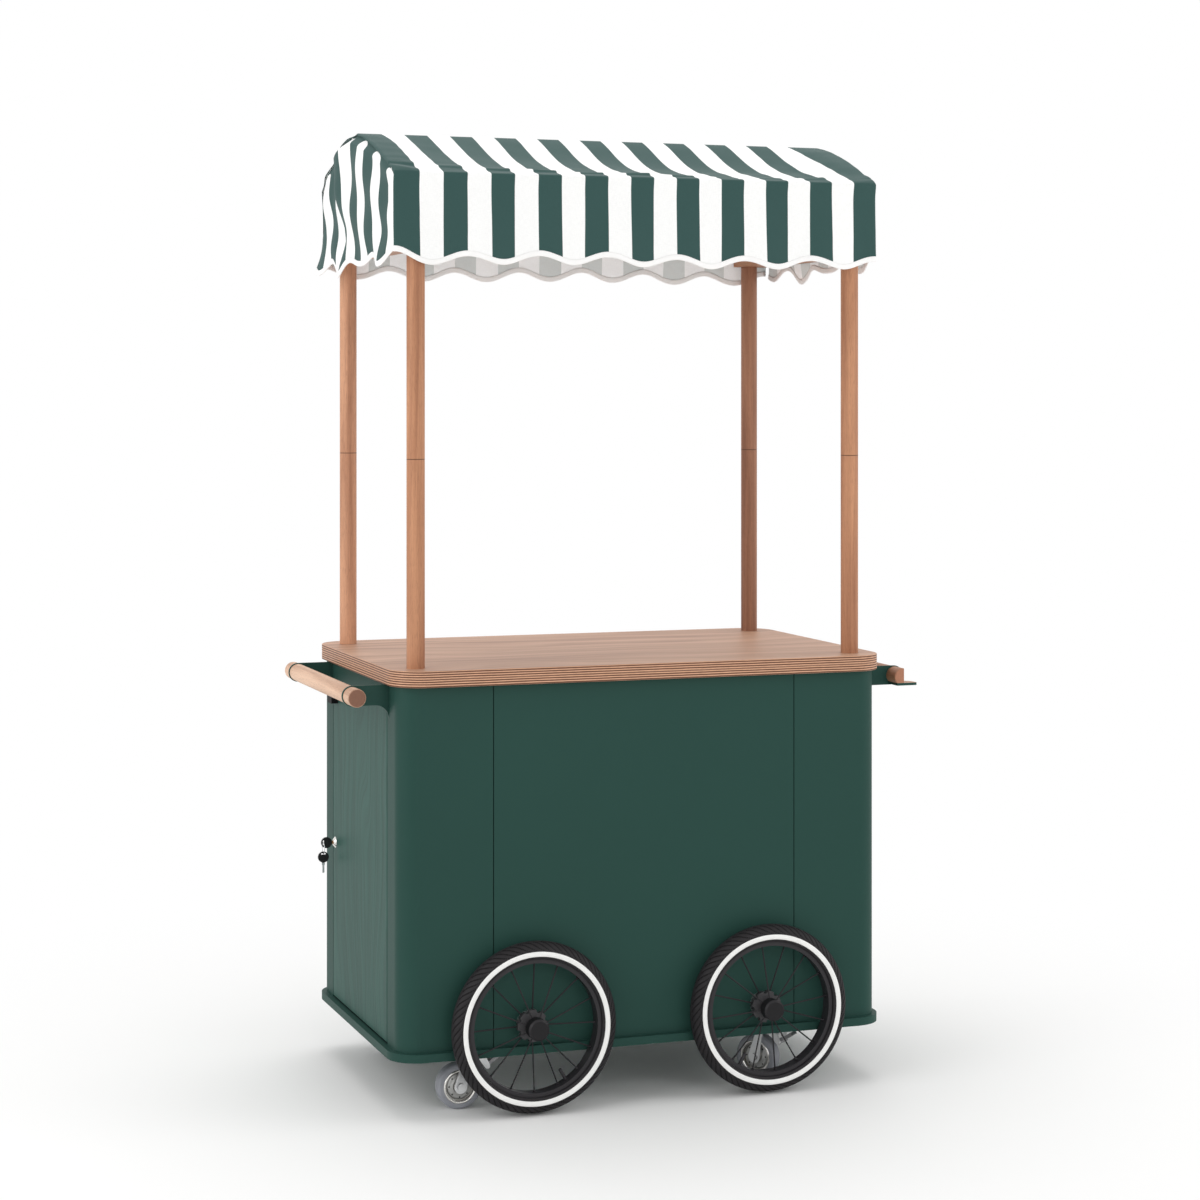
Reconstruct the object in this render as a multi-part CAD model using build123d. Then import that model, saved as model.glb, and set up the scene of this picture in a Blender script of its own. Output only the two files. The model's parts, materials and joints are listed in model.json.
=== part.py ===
from build123d import *
from math import cos, hypot, radians, sin
import os

# Mobile event cart. Sizes are in millimetres: X runs to the right along the front, Y to the rear and
# Z up from the floor. Pieces are worked out about the middle of the counter, and then moved so that
# the frame's origin lies on the floor under the middle of the whole cart.

# Fits
PIN_CLEARANCE = 0.05
SEAT_GAP = 0.3
SEAM = 2.0

# Counter
BOARD = 18.0
COUNTER_OVERHANG_X = 13.0
COUNTER_OVERHANG_Y = 22.0
COUNTER_HEIGHT = 970.0
COUNTER_CORNER_R = 75.0
COUNTER_EDGE_R = 1.5

# Cabinet
WALL = 15.0
CABINET_WIDTH = 1134.0
CABINET_DEPTH = 704.0
CABINET_CORNER_R = 46.0
COLUMN_WIDTH = 210.0
COLUMN_DEPTH = 103.0
PLINTH_OVERHANG = 14.0
PLINTH_CORNER_R = 70.0
BATTEN_WIDTH = 44.0
BATTEN_DEPTH = 20.0
SIDE_BATTEN_LAP = 4.0

# Side door on the left end
DOOR_THICKNESS = 18.0
DOOR_GAP = 3.5
HINGE_GAP = 0.6
DOOR_SILL_GAP = 4.0
HEAD_RAIL_HEIGHT = 49.0
DOOR_PIN_R = 4.0
DOOR_PIN_DEPTH = 12.0
PULL_WIDTH = 40.0
PULL_HEIGHT = 26.0
PULL_REACH = 16.0
PULL_EDGE_INSET = 6.0
PULL_DROP = 16.0
PULL_ROUNDING = 4.0

# Lock and keys
LOCK_RISE = 363.0
LOCK_EDGE_INSET = 17.0
LOCK_BARREL_R = 9.5
LOCK_PLUG_R = 5.0
LOCK_TAIL = 5.0
ROSETTE_R = 13.0
ROSETTE_TIP_R = 7.0
ROSETTE_HEIGHT = 5.0
CAM_LENGTH = 40.0
CAM_WIDTH = 14.0
CAM_THICKNESS = 3.0
KEY_HEAD_R = 12.8
KEY_HEAD_THICKNESS = 5.0
KEY_BLADE_LENGTH = 24.0
KEY_BLADE_WIDTH = 4.6
KEY_SHOULDER_LENGTH = 6.0
KEY_NECK = 3.0
KEY_SHOULDER_WIDTH = 7.0
KEY_BLADE_THICKNESS = 2.2
KEY_SLOT_LENGTH = 12.0
KEY_SLOT_WIDTH = 3.4
KEY_SLOT_OFFSET = 7.5
KEY_RING_R = 13.0
KEY_RING_WIRE_R = 0.8

# Posts
POST_DIAMETER = 40.0
POST_INSET_X = 62.5
POST_INSET_Y = 73.5
POST_SEAT_DEPTH = 2.0
LOWER_POST_LENGTH = 457.0
UPPER_POST_LENGTH = 459.0
STUD_R = 5.0
STUD_DEPTH = 60.0

# Canopy frame
END_RAIL_WIDTH = 66.0
END_RAIL_THICKNESS = 20.0
GABLE_BOARD = 18.0
GABLE_MARGIN = 1.5
GABLE_WALL = 162.0
GABLE_RISE = 111.0
GABLE_CROWN = 10.0
ROOF_SAG = 14.0
EAVE_RAIL = 30.0
RIDGE_RAIL_WIDTH = 30.0
RIDGE_RAIL_HEIGHT = 60.0

# Canopy cloth
CLOTH = 2.5
EAVE_DROP = 14.0
VALANCE_OVERLAP = 33.0
VALANCE_WAVE = 19.0
VALANCE_WAVES = 7
VALANCE_FOLD = 5.0
REAR_VALANCE_DROP = 10.0
FLAP_WAVES = 4
FLAP_FOLD = 11.0

# Handles
BAR_DIAMETER = 40.0
BAR_OVERHANG = 50.0
BAR_REACH = 83.0
BAR_CHAMFER = 1.5
ARM_INSET = 94.0
ARM_THICKNESS = 6.0
ARM_RIM = 2.0
ARM_TOP_GAP = 2.0
ARM_FLARE = 30.0
ARM_TAIL = 25.0
ARM_TAIL_INSET = 4.0
TONGUE_THICKNESS = 6.0
TONGUE_ROOT = 14.0
TONGUE_REACH = 37.0
TONGUE_CORNER_R = 5.0
TONGUE_SWEEP_R = 28.0
BAR_FLAT_OFFSET = 3.0

# Spoked front wheels
WHEEL_INSET = 291.0
WHEEL_R = 187.0
WHEEL_FLOOR_GAP = 4.0
WHEEL_PLINTH_GAP = 3.5
TYRE_SECTION_R = 23.5
TYRE_WALL = 4.0
RIM_R = 150.0
RIM_INNER_R = 141.0
RIM_WIDTH = 31.0
RIM_WALL = 2.8
SPOKES = 16
SPOKE_R = 1.6
SPOKE_GRIP = 5.0
HUB_FLANGE_R = 35.0
HUB_FLANGE_THICKNESS = 13.0
HUB_FLANGE_OFFSET = 8.0
HUB_NOTCH_R = 5.5
HUB_BARREL_R = 15.0
HUB_CAP_R = 23.5
HUB_CAP_LENGTH = 28.0
HUB_CAP_OFFSET = 10.0
HUB_CAP_WALL = 2.5
HUB_CAP_CHAMFER = 4.0
WHEEL_AXLE_R = 6.0
AXLE_FLANGE_R = 28.0
AXLE_FLANGE_THICKNESS = 5.0
AXLE_NUT_R = 11.0
AXLE_NUT_THICKNESS = 8.0
VALVE_R = 4.0
VALVE_LENGTH = 28.0
VALVE_ANGLE = -59.0
WHEEL_TURN = {"left": 0.0, "right": 299.0}

# Casters
CASTER_HEIGHT = 125.0
CASTER_INSET_X = 211.0
CASTER_INSET_Y = 69.0
CASTER_SHIFT_X = -25.0
CASTER_WIDTH = 32.0
CASTER_CORE_R = 37.5
CASTER_CORE_WEB = 12.0
CASTER_CORE_RIM = 5.5
CASTER_TREAD_R = 7.0
CASTER_TRAIL = 35.0
CASTER_SIDE_GAP = 2.0
CASTER_AXLE_R = 5.0
CASTER_AXLE_HEAD_R = 8.0
CASTER_AXLE_HEAD = 5.0
CASTER_HUB_R = 14.5
CASTER_PLATE_X = 100.0
CASTER_PLATE_Y = 85.0
CASTER_PLATE = 3.5
CASTER_SCREW_X = 80.0
CASTER_SCREW_Y = 60.0
CASTER_SCREW_R = 4.0
CASTER_SCREW_HEAD_R = 6.5
CASTER_SCREW_HEAD = 5.0
CASTER_SCREW_LENGTH = 16.0
SWIVEL_R = 25.0
SWIVEL_HEIGHT = 12.0
KING_PIN_R = 6.0
KING_PIN_HEAD_R = 10.0
KING_PIN_HEAD = 3.0
FORK_PLATE = 3.5
FORK_CROWN_GAP = 5.7
FORK_LEAD = 24.0
FORK_TRAIL = 30.0
FORK_LEG_WIDTH = 16.0
FORK_EAR_WIDTH = 18.0
PEDAL_PIVOT_OUT = 26.0
PEDAL_PIVOT_DROP = 18.0
PEDAL_PIN_R = 3.0
PEDAL_HUB_R = 6.0
PEDAL_EAR_R = 6.0
PEDAL_LENGTH = 36.0
PEDAL_WIDTH = 26.0
PEDAL_THICKNESS = 7.0
PEDAL_SLOPE = 34.0
CASTER_TURN = {"front_left": 180.0, "front_right": 129.0, "rear_left": 205.0, "rear_right": 20.0}

# Heights and places that follow from the sizes above
fork_top = CASTER_HEIGHT - CASTER_PLATE - SWIVEL_HEIGHT - SEAT_GAP
fork_low = fork_top - FORK_PLATE
caster_r = (fork_low - FORK_CROWN_GAP) / 2
plinth_top = CASTER_HEIGHT + BOARD
counter_underside = COUNTER_HEIGHT - 2 * BOARD
wall_height = counter_underside - plinth_top
side_x = CABINET_WIDTH / 2
front_y = CABINET_DEPTH / 2
counter_x = side_x + COUNTER_OVERHANG_X
counter_y = front_y + COUNTER_OVERHANG_Y
plinth_x = side_x + PLINTH_OVERHANG
plinth_y = front_y + PLINTH_OVERHANG
seam_x = side_x - COLUMN_WIDTH
door_half = front_y - COLUMN_DEPTH
post_x = counter_x - POST_INSET_X
post_y = counter_y - POST_INSET_Y
post_foot_z = COUNTER_HEIGHT - POST_SEAT_DEPTH
post_joint_z = post_foot_z + LOWER_POST_LENGTH
post_top_z = post_joint_z + UPPER_POST_LENGTH
gable_inner_x = post_x + END_RAIL_WIDTH / 2
gable_outer_x = gable_inner_x + GABLE_BOARD
gable_y = post_y + POST_DIAMETER / 2 + GABLE_MARGIN
canopy_half_x = gable_outer_x + SEAT_GAP + CLOTH
eave_z = post_top_z + GABLE_WALL
ridge_z = eave_z + GABLE_RISE
valance_top_z = eave_z - EAVE_DROP
valance_low_z = post_top_z - VALANCE_OVERLAP
bar_r = BAR_DIAMETER / 2
arm_end_r = bar_r + ARM_RIM
bar_x = side_x + BAR_REACH
bar_z = counter_underside - ARM_TOP_GAP - arm_end_r
tongue_x1 = bar_x + TONGUE_REACH
arm_y = front_y - ARM_INSET
bar_y = arm_y + BAR_OVERHANG
caster_x = side_x - CASTER_INSET_X
caster_y = front_y - CASTER_INSET_Y
wheel_x = side_x - WHEEL_INSET
wheel_y = -(plinth_y + WHEEL_PLINTH_GAP + TYRE_SECTION_R)
wheel_z = WHEEL_R + WHEEL_FLOOR_GAP
hub_face_y = wheel_y - HUB_CAP_OFFSET - HUB_CAP_LENGTH
origin_shift_x = (bar_x + arm_end_r - tongue_x1) / 2
origin_shift_y = (-hub_face_y - counter_y) / 2

ENDS = {"left": -1, "right": 1}
CORNERS = {"front_left": (-1, -1), "front_right": (1, -1), "rear_left": (-1, 1), "rear_right": (1, 1)}

nodes = {}


def add(name, *shapes):
    """Keep the solids of some shapes as one named node."""
    solids = [solid for shape in shapes for solid in shape.solids()]
    nodes[name] = solids[0] if len(solids) == 1 else Compound(solids)


def box(x0, x1, y0, y1, z0, z1):
    """Box between two opposite corners, given in either order."""
    middle = Pos((x0 + x1) / 2, (y0 + y1) / 2, (z0 + z1) / 2)
    return middle * Box(abs(x1 - x0), abs(y1 - y0), abs(z1 - z0))


def rod(start, end, radius):
    """Round bar from one point to another."""
    run = Vector(*end) - Vector(*start)
    return extrude(Plane(origin=start, z_dir=run) * Circle(radius), run.length)


def slab(width, depth, corner_r, z, thickness):
    """Flat board with rounded corners, lying at a height."""
    return Pos(0, 0, z) * extrude(RectangleRounded(width, depth, corner_r), thickness)


def plate(outline, thickness):
    """Plate in the XZ plane, centred on that plane, from a closed outline."""
    return extrude(Plane.XZ * make_face(outline), thickness / 2, both=True)


def corner_places(half_x, half_y):
    """Four places on a rectangle, in the order of CORNERS."""
    return [(sx * half_x, sy * half_y) for sx, sy in CORNERS.values()]


# Counter and plinth
def counter_board(z):
    """One counter board with the four stud holes and, in the upper board, the shallow seats of the posts."""
    board = slab(2 * counter_x, 2 * counter_y, COUNTER_CORNER_R, z, BOARD)
    board = fillet(board.edges().filter_by(Axis.Z, reverse=True), COUNTER_EDGE_R)
    holes = []
    for x, y in corner_places(post_x, post_y):
        holes.append(rod((x, y, z), (x, y, z + BOARD), STUD_R + PIN_CLEARANCE))
        if z + BOARD > post_foot_z:
            holes.append(rod((x, y, post_foot_z), (x, y, z + BOARD), POST_DIAMETER / 2 + PIN_CLEARANCE))
    return board - holes


def caster_places():
    """Places of the swivel axes, in the order of CORNERS."""
    return [(x + CASTER_SHIFT_X, y) for x, y in corner_places(caster_x, caster_y)]


def caster_screw_places():
    """Places of all the caster screws."""
    return [
        (x + dx, y + dy)
        for x, y in caster_places()
        for dx, dy in corner_places(CASTER_SCREW_X / 2, CASTER_SCREW_Y / 2)
    ]


def plinth_board():
    """Board under the cabinet, with the caster screw holes and the door's lower pivot hole."""
    board = slab(2 * plinth_x, 2 * plinth_y, PLINTH_CORNER_R, CASTER_HEIGHT, BOARD)
    screw_tip = CASTER_HEIGHT + CASTER_SCREW_LENGTH
    holes = [
        rod((x, y, CASTER_HEIGHT), (x, y, screw_tip), CASTER_SCREW_R + PIN_CLEARANCE)
        for x, y in caster_screw_places()
    ]
    pivot_x, pivot_y = door_pivot()
    holes.append(
        rod((pivot_x, pivot_y, plinth_top - DOOR_PIN_DEPTH - SEAT_GAP), (pivot_x, pivot_y, plinth_top),
            DOOR_PIN_R + PIN_CLEARANCE)
    )
    return board - holes


add("counter_lower_board", counter_board(counter_underside))
add("counter_upper_board", counter_board(counter_underside + BOARD))


# Cabinet walls
def cabinet_wall():
    """Whole wall of the cabinet, before it is parted at the seams."""
    outer = RectangleRounded(CABINET_WIDTH, CABINET_DEPTH, CABINET_CORNER_R)
    inner = RectangleRounded(CABINET_WIDTH - 2 * WALL, CABINET_DEPTH - 2 * WALL, CABINET_CORNER_R - WALL)
    return Pos(0, 0, plinth_top) * extrude(outer - inner, wall_height)


def arm_slot(side, y):
    """Slot through a corner column for the tail of a handle arm."""
    half = ARM_THICKNESS / 2 + PIN_CLEARANCE
    low = bar_z - arm_end_r + ARM_TAIL_INSET - PIN_CLEARANCE
    high = bar_z + arm_end_r - ARM_TAIL_INSET + PIN_CLEARANCE
    return box(side * (side_x + WALL), side * (side_x - 2 * WALL), y - half, y + half, low, high)


def door_pivot():
    """Plan place of the door's vertical pivot axis."""
    return -side_x + DOOR_THICKNESS / 2, -door_half + HINGE_GAP + DOOR_THICKNESS / 2


def axle_hole(side):
    """Hole in the front panel for a wheel's stub axle."""
    return rod((side * wheel_x, -front_y - WALL, wheel_z), (side * wheel_x, -front_y + 2 * WALL, wheel_z),
               WHEEL_AXLE_R + PIN_CLEARANCE)


wall = cabinet_wall()
for corner, (sx, sy) in CORNERS.items():
    region = box(sx * seam_x, sx * side_x, sy * door_half, sy * front_y, plinth_top, counter_underside)
    add(corner + "_column", (wall & region) - arm_slot(sx, sy * arm_y))
panel_x = seam_x - SEAM
side_y = door_half - SEAM
front_region = box(-panel_x, panel_x, -front_y, -front_y + WALL, plinth_top, counter_underside)
rear_region = box(-panel_x, panel_x, front_y - WALL, front_y, plinth_top, counter_underside)
right_region = box(side_x - WALL, side_x, -side_y, side_y, plinth_top, counter_underside)
add("front_panel", (wall & front_region) - [axle_hole(-1), axle_hole(1)])
add("rear_panel", wall & rear_region)
add("right_side_panel", wall & right_region)

head_z = counter_underside - HEAD_RAIL_HEIGHT
pivot_x, pivot_y = door_pivot()
head_hole = rod((pivot_x, pivot_y, head_z), (pivot_x, pivot_y, head_z + DOOR_PIN_DEPTH + SEAT_GAP),
                DOOR_PIN_R + PIN_CLEARANCE)
head_region = box(-side_x, -side_x + WALL, -side_y, side_y, head_z, counter_underside)
add("door_head_rail", (wall & head_region) - head_hole)
add("plinth_board", plinth_board())

battens = []
for sx, sy in CORNERS.values():
    inner_y = sy * (front_y - WALL)
    seam_batten = box(sx * (seam_x - BATTEN_WIDTH / 2), sx * (seam_x + BATTEN_WIDTH / 2),
                      inner_y, inner_y - sy * BATTEN_DEPTH, plinth_top, counter_underside)
    battens.append(seam_batten)
for sy in (-1, 1):
    inner_x = side_x - WALL
    outer_y = door_half + SIDE_BATTEN_LAP
    battens.append(box(inner_x, inner_x - BATTEN_DEPTH, sy * outer_y, sy * (outer_y - BATTEN_WIDTH),
                       plinth_top, counter_underside))
add("seam_battens", *battens)


# Side door, lock and keys
door_low = plinth_top + DOOR_SILL_GAP
door_high = head_z - DOOR_GAP
door_free_y = door_half - DOOR_GAP
door_inner_x = -side_x + DOOR_THICKNESS
lock_y = door_free_y - LOCK_EDGE_INSET
lock_z = door_low + LOCK_RISE
plug_outer_x = -side_x - ROSETTE_HEIGHT - SEAT_GAP
cam_x = door_inner_x + LOCK_TAIL + SEAT_GAP
key_head_x = plug_outer_x - KEY_NECK - KEY_HEAD_R
key_slot_x = key_head_x - KEY_SLOT_OFFSET


def side_door():
    """Door leaf with a round hinge edge, pivot holes and the hole for the lock."""
    half = DOOR_THICKNESS / 2
    leaf = box(-side_x, door_inner_x, pivot_y, door_free_y, door_low, door_high)
    leaf += rod((pivot_x, pivot_y, door_low), (pivot_x, pivot_y, door_high), half)
    holes = [rod((-side_x, lock_y, lock_z), (door_inner_x, lock_y, lock_z), LOCK_BARREL_R + PIN_CLEARANCE)]
    for z, inward in ((door_low, 1), (door_high, -1)):
        depth = inward * (DOOR_PIN_DEPTH + SEAT_GAP)
        holes.append(rod((pivot_x, pivot_y, z), (pivot_x, pivot_y, z + depth), DOOR_PIN_R + PIN_CLEARANCE))
    return leaf - holes


def door_pins():
    """Lower and upper pivot pins of the door."""
    spans = [
        (plinth_top - DOOR_PIN_DEPTH, door_low + DOOR_PIN_DEPTH),
        (door_high - DOOR_PIN_DEPTH, head_z + DOOR_PIN_DEPTH),
    ]
    return [rod((pivot_x, pivot_y, low), (pivot_x, pivot_y, high), DOOR_PIN_R) for low, high in spans]


def door_lock():
    """Lock barrel with its conical rosette, bored for the plug."""
    barrel = rod((-side_x, lock_y, lock_z), (door_inner_x + LOCK_TAIL, lock_y, lock_z), LOCK_BARREL_R)
    rosette_plane = Plane(origin=(-side_x, lock_y, lock_z), z_dir=(-1, 0, 0))
    rosette = rosette_plane * Pos(0, 0, ROSETTE_HEIGHT / 2) * Cone(ROSETTE_R, ROSETTE_TIP_R, ROSETTE_HEIGHT)
    bore = rod((-side_x - ROSETTE_HEIGHT, lock_y, lock_z), (door_inner_x + LOCK_TAIL, lock_y, lock_z),
               LOCK_PLUG_R + PIN_CLEARANCE)
    return barrel + rosette - bore


def lock_plug():
    """Plug of the lock with the cam on its inner end, pointing down when open."""
    plug = rod((plug_outer_x, lock_y, lock_z), (cam_x, lock_y, lock_z), LOCK_PLUG_R)
    half = CAM_WIDTH / 2
    cam = box(cam_x, cam_x + CAM_THICKNESS, lock_y - half, lock_y + half, lock_z, lock_z - CAM_LENGTH)
    cam += rod((cam_x, lock_y, lock_z), (cam_x + CAM_THICKNESS, lock_y, lock_z), half)
    return plug + cam


def key(shank):
    """Key in the XZ plane: round head at the origin, blade along +X, slot at the far side of the head."""
    head = Rot(90, 0, 0) * Cylinder(KEY_HEAD_R, KEY_HEAD_THICKNESS)
    thick = KEY_BLADE_THICKNESS / 2
    blade = box(0, KEY_HEAD_R + shank, -thick, thick, -KEY_BLADE_WIDTH / 2, KEY_BLADE_WIDTH / 2)
    shoulder = KEY_HEAD_R + min(shank, KEY_SHOULDER_LENGTH)
    blade += box(0, shoulder, -thick, thick, -KEY_SHOULDER_WIDTH / 2, KEY_SHOULDER_WIDTH / 2)
    slot = Plane.XZ * SlotOverall(KEY_SLOT_LENGTH, KEY_SLOT_WIDTH, rotation=90)
    cutter = Pos(-KEY_SLOT_OFFSET, 0, 0) * extrude(slot, KEY_HEAD_THICKNESS, both=True)
    return head + blade - cutter


def key_ring():
    """Ring that links the slots of the two keys."""
    return Pos(key_slot_x, lock_y, lock_z - KEY_RING_R) * Rot(0, 90, 0) * Torus(KEY_RING_R, KEY_RING_WIRE_R)


def door_pull():
    """Small black block to pull the door by, near its free top corner."""
    y = door_free_y - PULL_EDGE_INSET
    z = door_high - PULL_DROP
    block = box(-side_x, -side_x - PULL_REACH, y, y - PULL_WIDTH, z, z - PULL_HEIGHT)
    return fillet(block.edges().filter_by(Axis.X), PULL_ROUNDING)


spare_head_z = lock_z - 2 * KEY_RING_R - KEY_SLOT_OFFSET
add("side_door", side_door())
add("door_pins", *door_pins())
add("door_lock", door_lock())
add("door_pull", door_pull())
add("lock_plug", lock_plug())
add("door_key", Pos(key_head_x, lock_y, lock_z) * key(KEY_NECK))
add("spare_key", Pos(key_slot_x, lock_y, spare_head_z) * Rot(0, 90, 0) * key(KEY_BLADE_LENGTH), key_ring())


# Posts
def post_length(x, y, low, high):
    """One length of a post with stud holes in both ends that take a stud."""
    post = rod((x, y, low), (x, y, high), POST_DIAMETER / 2)
    bore_r = STUD_R + PIN_CLEARANCE
    bore_depth = STUD_DEPTH + SEAT_GAP
    holes = [rod((x, y, low), (x, y, low + bore_depth), bore_r)]
    if high < post_top_z:
        holes.append(rod((x, y, high - bore_depth), (x, y, high), bore_r))
    return post - holes


studs = []
for corner, (x, y) in zip(CORNERS, corner_places(post_x, post_y)):
    lower = post_length(x, y, post_foot_z, post_joint_z)
    upper = post_length(x, y, post_joint_z, post_top_z)
    add(corner + "_post", lower, upper)
    studs.append(rod((x, y, counter_underside), (x, y, post_foot_z + STUD_DEPTH), STUD_R))
    studs.append(rod((x, y, post_joint_z - STUD_DEPTH), (x, y, post_joint_z + STUD_DEPTH), STUD_R))
add("post_studs", *studs)


# Canopy frame
def roof_line(grow, sag):
    """Roof from eave to eave in the YZ plane, set out from the frame; a sag below 0 makes the slopes rise."""
    slope = GABLE_RISE / gable_y
    half = gable_y + grow
    top = ridge_z + grow * hypot(1, slope)
    eave = top - slope * half
    middle = (top + eave) / 2 - sag
    return [
        ThreePointArc((-half, eave), (-half / 2, middle), (0, top)),
        ThreePointArc((0, top), (half / 2, middle), (half, eave)),
    ]


def under_roof(base, grow, sag):
    """Edges of everything under the roof line and above a level, in the YZ plane."""
    roof = roof_line(grow, sag)
    front = roof[0] @ 0
    rear = roof[1] @ 1
    return [Line((front.X, base), front), *roof, Line(rear, (rear.X, base))]


def roof_outline(base, sag):
    """Closed outline of the canopy's frame in the YZ plane, above a level."""
    edges = under_roof(base, 0, sag)
    return make_face([*edges, Line(edges[-1] @ 1, edges[0] @ 0)])


def roof_rails():
    """Ridge rail and two eave rails between the gable boards."""
    room = extrude(Plane.YZ * roof_outline(post_top_z, ROOF_SAG), gable_inner_x, both=True)
    half = RIDGE_RAIL_WIDTH / 2
    ridge = box(-gable_inner_x, gable_inner_x, -half, half, ridge_z - RIDGE_RAIL_HEIGHT, ridge_z)
    inner_y = gable_y - EAVE_RAIL
    eaves = [
        box(-gable_inner_x, gable_inner_x, sy * gable_y, sy * inner_y, eave_z - EAVE_RAIL, eave_z)
        for sy in (-1, 1)
    ]
    return [ridge & room, *eaves]


for end, sx in ENDS.items():
    add(end + "_end_rail", box(sx * (post_x - END_RAIL_WIDTH / 2), sx * gable_inner_x, -gable_y, gable_y,
                               post_top_z, post_top_z + END_RAIL_THICKNESS))
    board = extrude(Plane.YZ * roof_outline(post_top_z, -GABLE_CROWN), GABLE_BOARD)
    add(end + "_gable_board", Pos(gable_inner_x if sx > 0 else -gable_outer_x, 0, 0) * board)
add("roof_rails", *roof_rails())


# Canopy cloth
def wave(start, step, count, level, height):
    """Smooth wave of arcs along the first axis, bulging to each side of a level by turns."""
    arcs = []
    for index in range(count):
        left = start + index * step
        bulge = level + (height if index % 2 == 0 else -height)
        arcs.append(ThreePointArc((left, level), (left + step / 2, bulge), (left + step, level)))
    return arcs


def cloth_strip(half_length, folds, base, fold):
    """Flat section of hanging cloth: a band one cloth thick, straight or waved outwards from a base line."""
    count = 2 * folds
    step = 2 * half_length / count
    level = base + fold
    if fold:
        inner = wave(-half_length, step, count, level, fold)
    else:
        places = [-half_length + index * step for index in range(count + 1)]
        inner = [Line((a, base), (b, base)) for a, b in zip(places, places[1:])]
    outer = [Pos(0, CLOTH) * edge for edge in inner]
    closing = [
        Line((-half_length, level), (-half_length, level + CLOTH)),
        Line((half_length, level), (half_length, level + CLOTH)),
    ]
    return make_face(Wire([*inner, *outer, *closing]))


def hanging_cloth(half_length, waves, base, fold, edge_z):
    """Cloth that hangs from a straight top edge, with folds and scallops at its lower edge."""
    low = edge_z - VALANCE_WAVE
    top = Pos(0, 0, valance_top_z) * cloth_strip(half_length, waves, base, 0)
    bottom = Pos(0, 0, low) * cloth_strip(half_length, waves, base, fold)
    cloth = loft([top, bottom], ruled=True)
    step = half_length / waves
    level = edge_z + VALANCE_WAVE / 2
    start = -half_length - step / 2
    edge = wave(start, step, 2 * waves + 1, level, VALANCE_WAVE / 2)
    end = start + (2 * waves + 1) * step
    floor = low - VALANCE_WAVE
    edge += [
        Line((end, level), (end, floor)),
        Line((end, floor), (start, floor)),
        Line((start, floor), (start, level)),
    ]
    return cloth - Pos(0, base, 0) * extrude(Plane.XZ * make_face(edge), base, both=True)


def roof_cloth(x, sag):
    """Section of the roof cloth at a place along the cart."""
    inner = under_roof(valance_top_z, SEAT_GAP, sag)
    outer = under_roof(valance_top_z, SEAT_GAP + CLOTH, sag)
    closing = [Line(inner[0] @ 0, outer[0] @ 0), Line(inner[-1] @ 1, outer[-1] @ 1)]
    return Plane.YZ.offset(x) * make_face(Wire([*inner, *outer, *closing]))


def canopy_cover():
    """Roof cloth that sags between the gable boards, with the front and rear valances."""
    places = [
        (-canopy_half_x, -GABLE_CROWN),
        (-gable_inner_x, -GABLE_CROWN),
        (0, ROOF_SAG),
        (gable_inner_x, -GABLE_CROWN),
        (canopy_half_x, -GABLE_CROWN),
    ]
    roof = loft([roof_cloth(x, sag) for x, sag in places], ruled=True)
    base = gable_y + SEAT_GAP
    front = hanging_cloth(canopy_half_x, VALANCE_WAVES, base, VALANCE_FOLD, valance_low_z)
    rear = hanging_cloth(canopy_half_x, VALANCE_WAVES, base, VALANCE_FOLD, valance_low_z - REAR_VALANCE_DROP)
    return roof + rear + Rot(0, 0, 180) * front


def end_flap():
    """Cloth that closes one end of the canopy, on the right."""
    gable = extrude(Plane.YZ * roof_outline(valance_top_z, -GABLE_CROWN), CLOTH)
    hanging = hanging_cloth(gable_y, FLAP_WAVES, gable_outer_x + SEAT_GAP, FLAP_FOLD, valance_low_z)
    return Pos(gable_outer_x + SEAT_GAP, 0, 0) * gable + Rot(0, 0, -90) * hanging


add("canopy_cover", canopy_cover())
right_flap = end_flap()
add("right_end_flap", right_flap)
add("left_end_flap", Rot(0, 0, 180) * right_flap)


# Handles
def handle_arm(side, y):
    """Arm plate from the cabinet's side to the bar, with a flared root and a tail through the wall."""
    root = side_x + SEAT_GAP
    top = bar_z + arm_end_r
    low = bar_z - arm_end_r
    curve = ARM_FLARE * sin(radians(45))
    outline = [
        Line((root, low - ARM_FLARE), (root, top)),
        Line((root, top), (bar_x, top)),
        ThreePointArc((bar_x, top), (bar_x + arm_end_r, bar_z), (bar_x, low)),
        Line((bar_x, low), (root + ARM_FLARE, low)),
        ThreePointArc((root + ARM_FLARE, low), (root + ARM_FLARE - curve, low - ARM_FLARE + curve),
                      (root, low - ARM_FLARE)),
    ]
    arm = plate(outline, ARM_THICKNESS)
    half = ARM_THICKNESS / 2
    arm += box(root, side_x - WALL - ARM_TAIL, -half, half, low + ARM_TAIL_INSET, top - ARM_TAIL_INSET)
    arm -= rod((bar_x, -half, bar_z), (bar_x, half, bar_z), bar_r + PIN_CLEARANCE)
    turned = arm if side > 0 else Rot(0, 0, 180) * arm
    return Pos(0, y, 0) * turned


def handle_bar(side):
    """Round bar through both arms."""
    bar = rod((side * bar_x, -bar_y, bar_z), (side * bar_x, bar_y, bar_z), bar_r)
    return chamfer(bar.edges().filter_by(GeomType.CIRCLE), BAR_CHAMFER)


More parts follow.
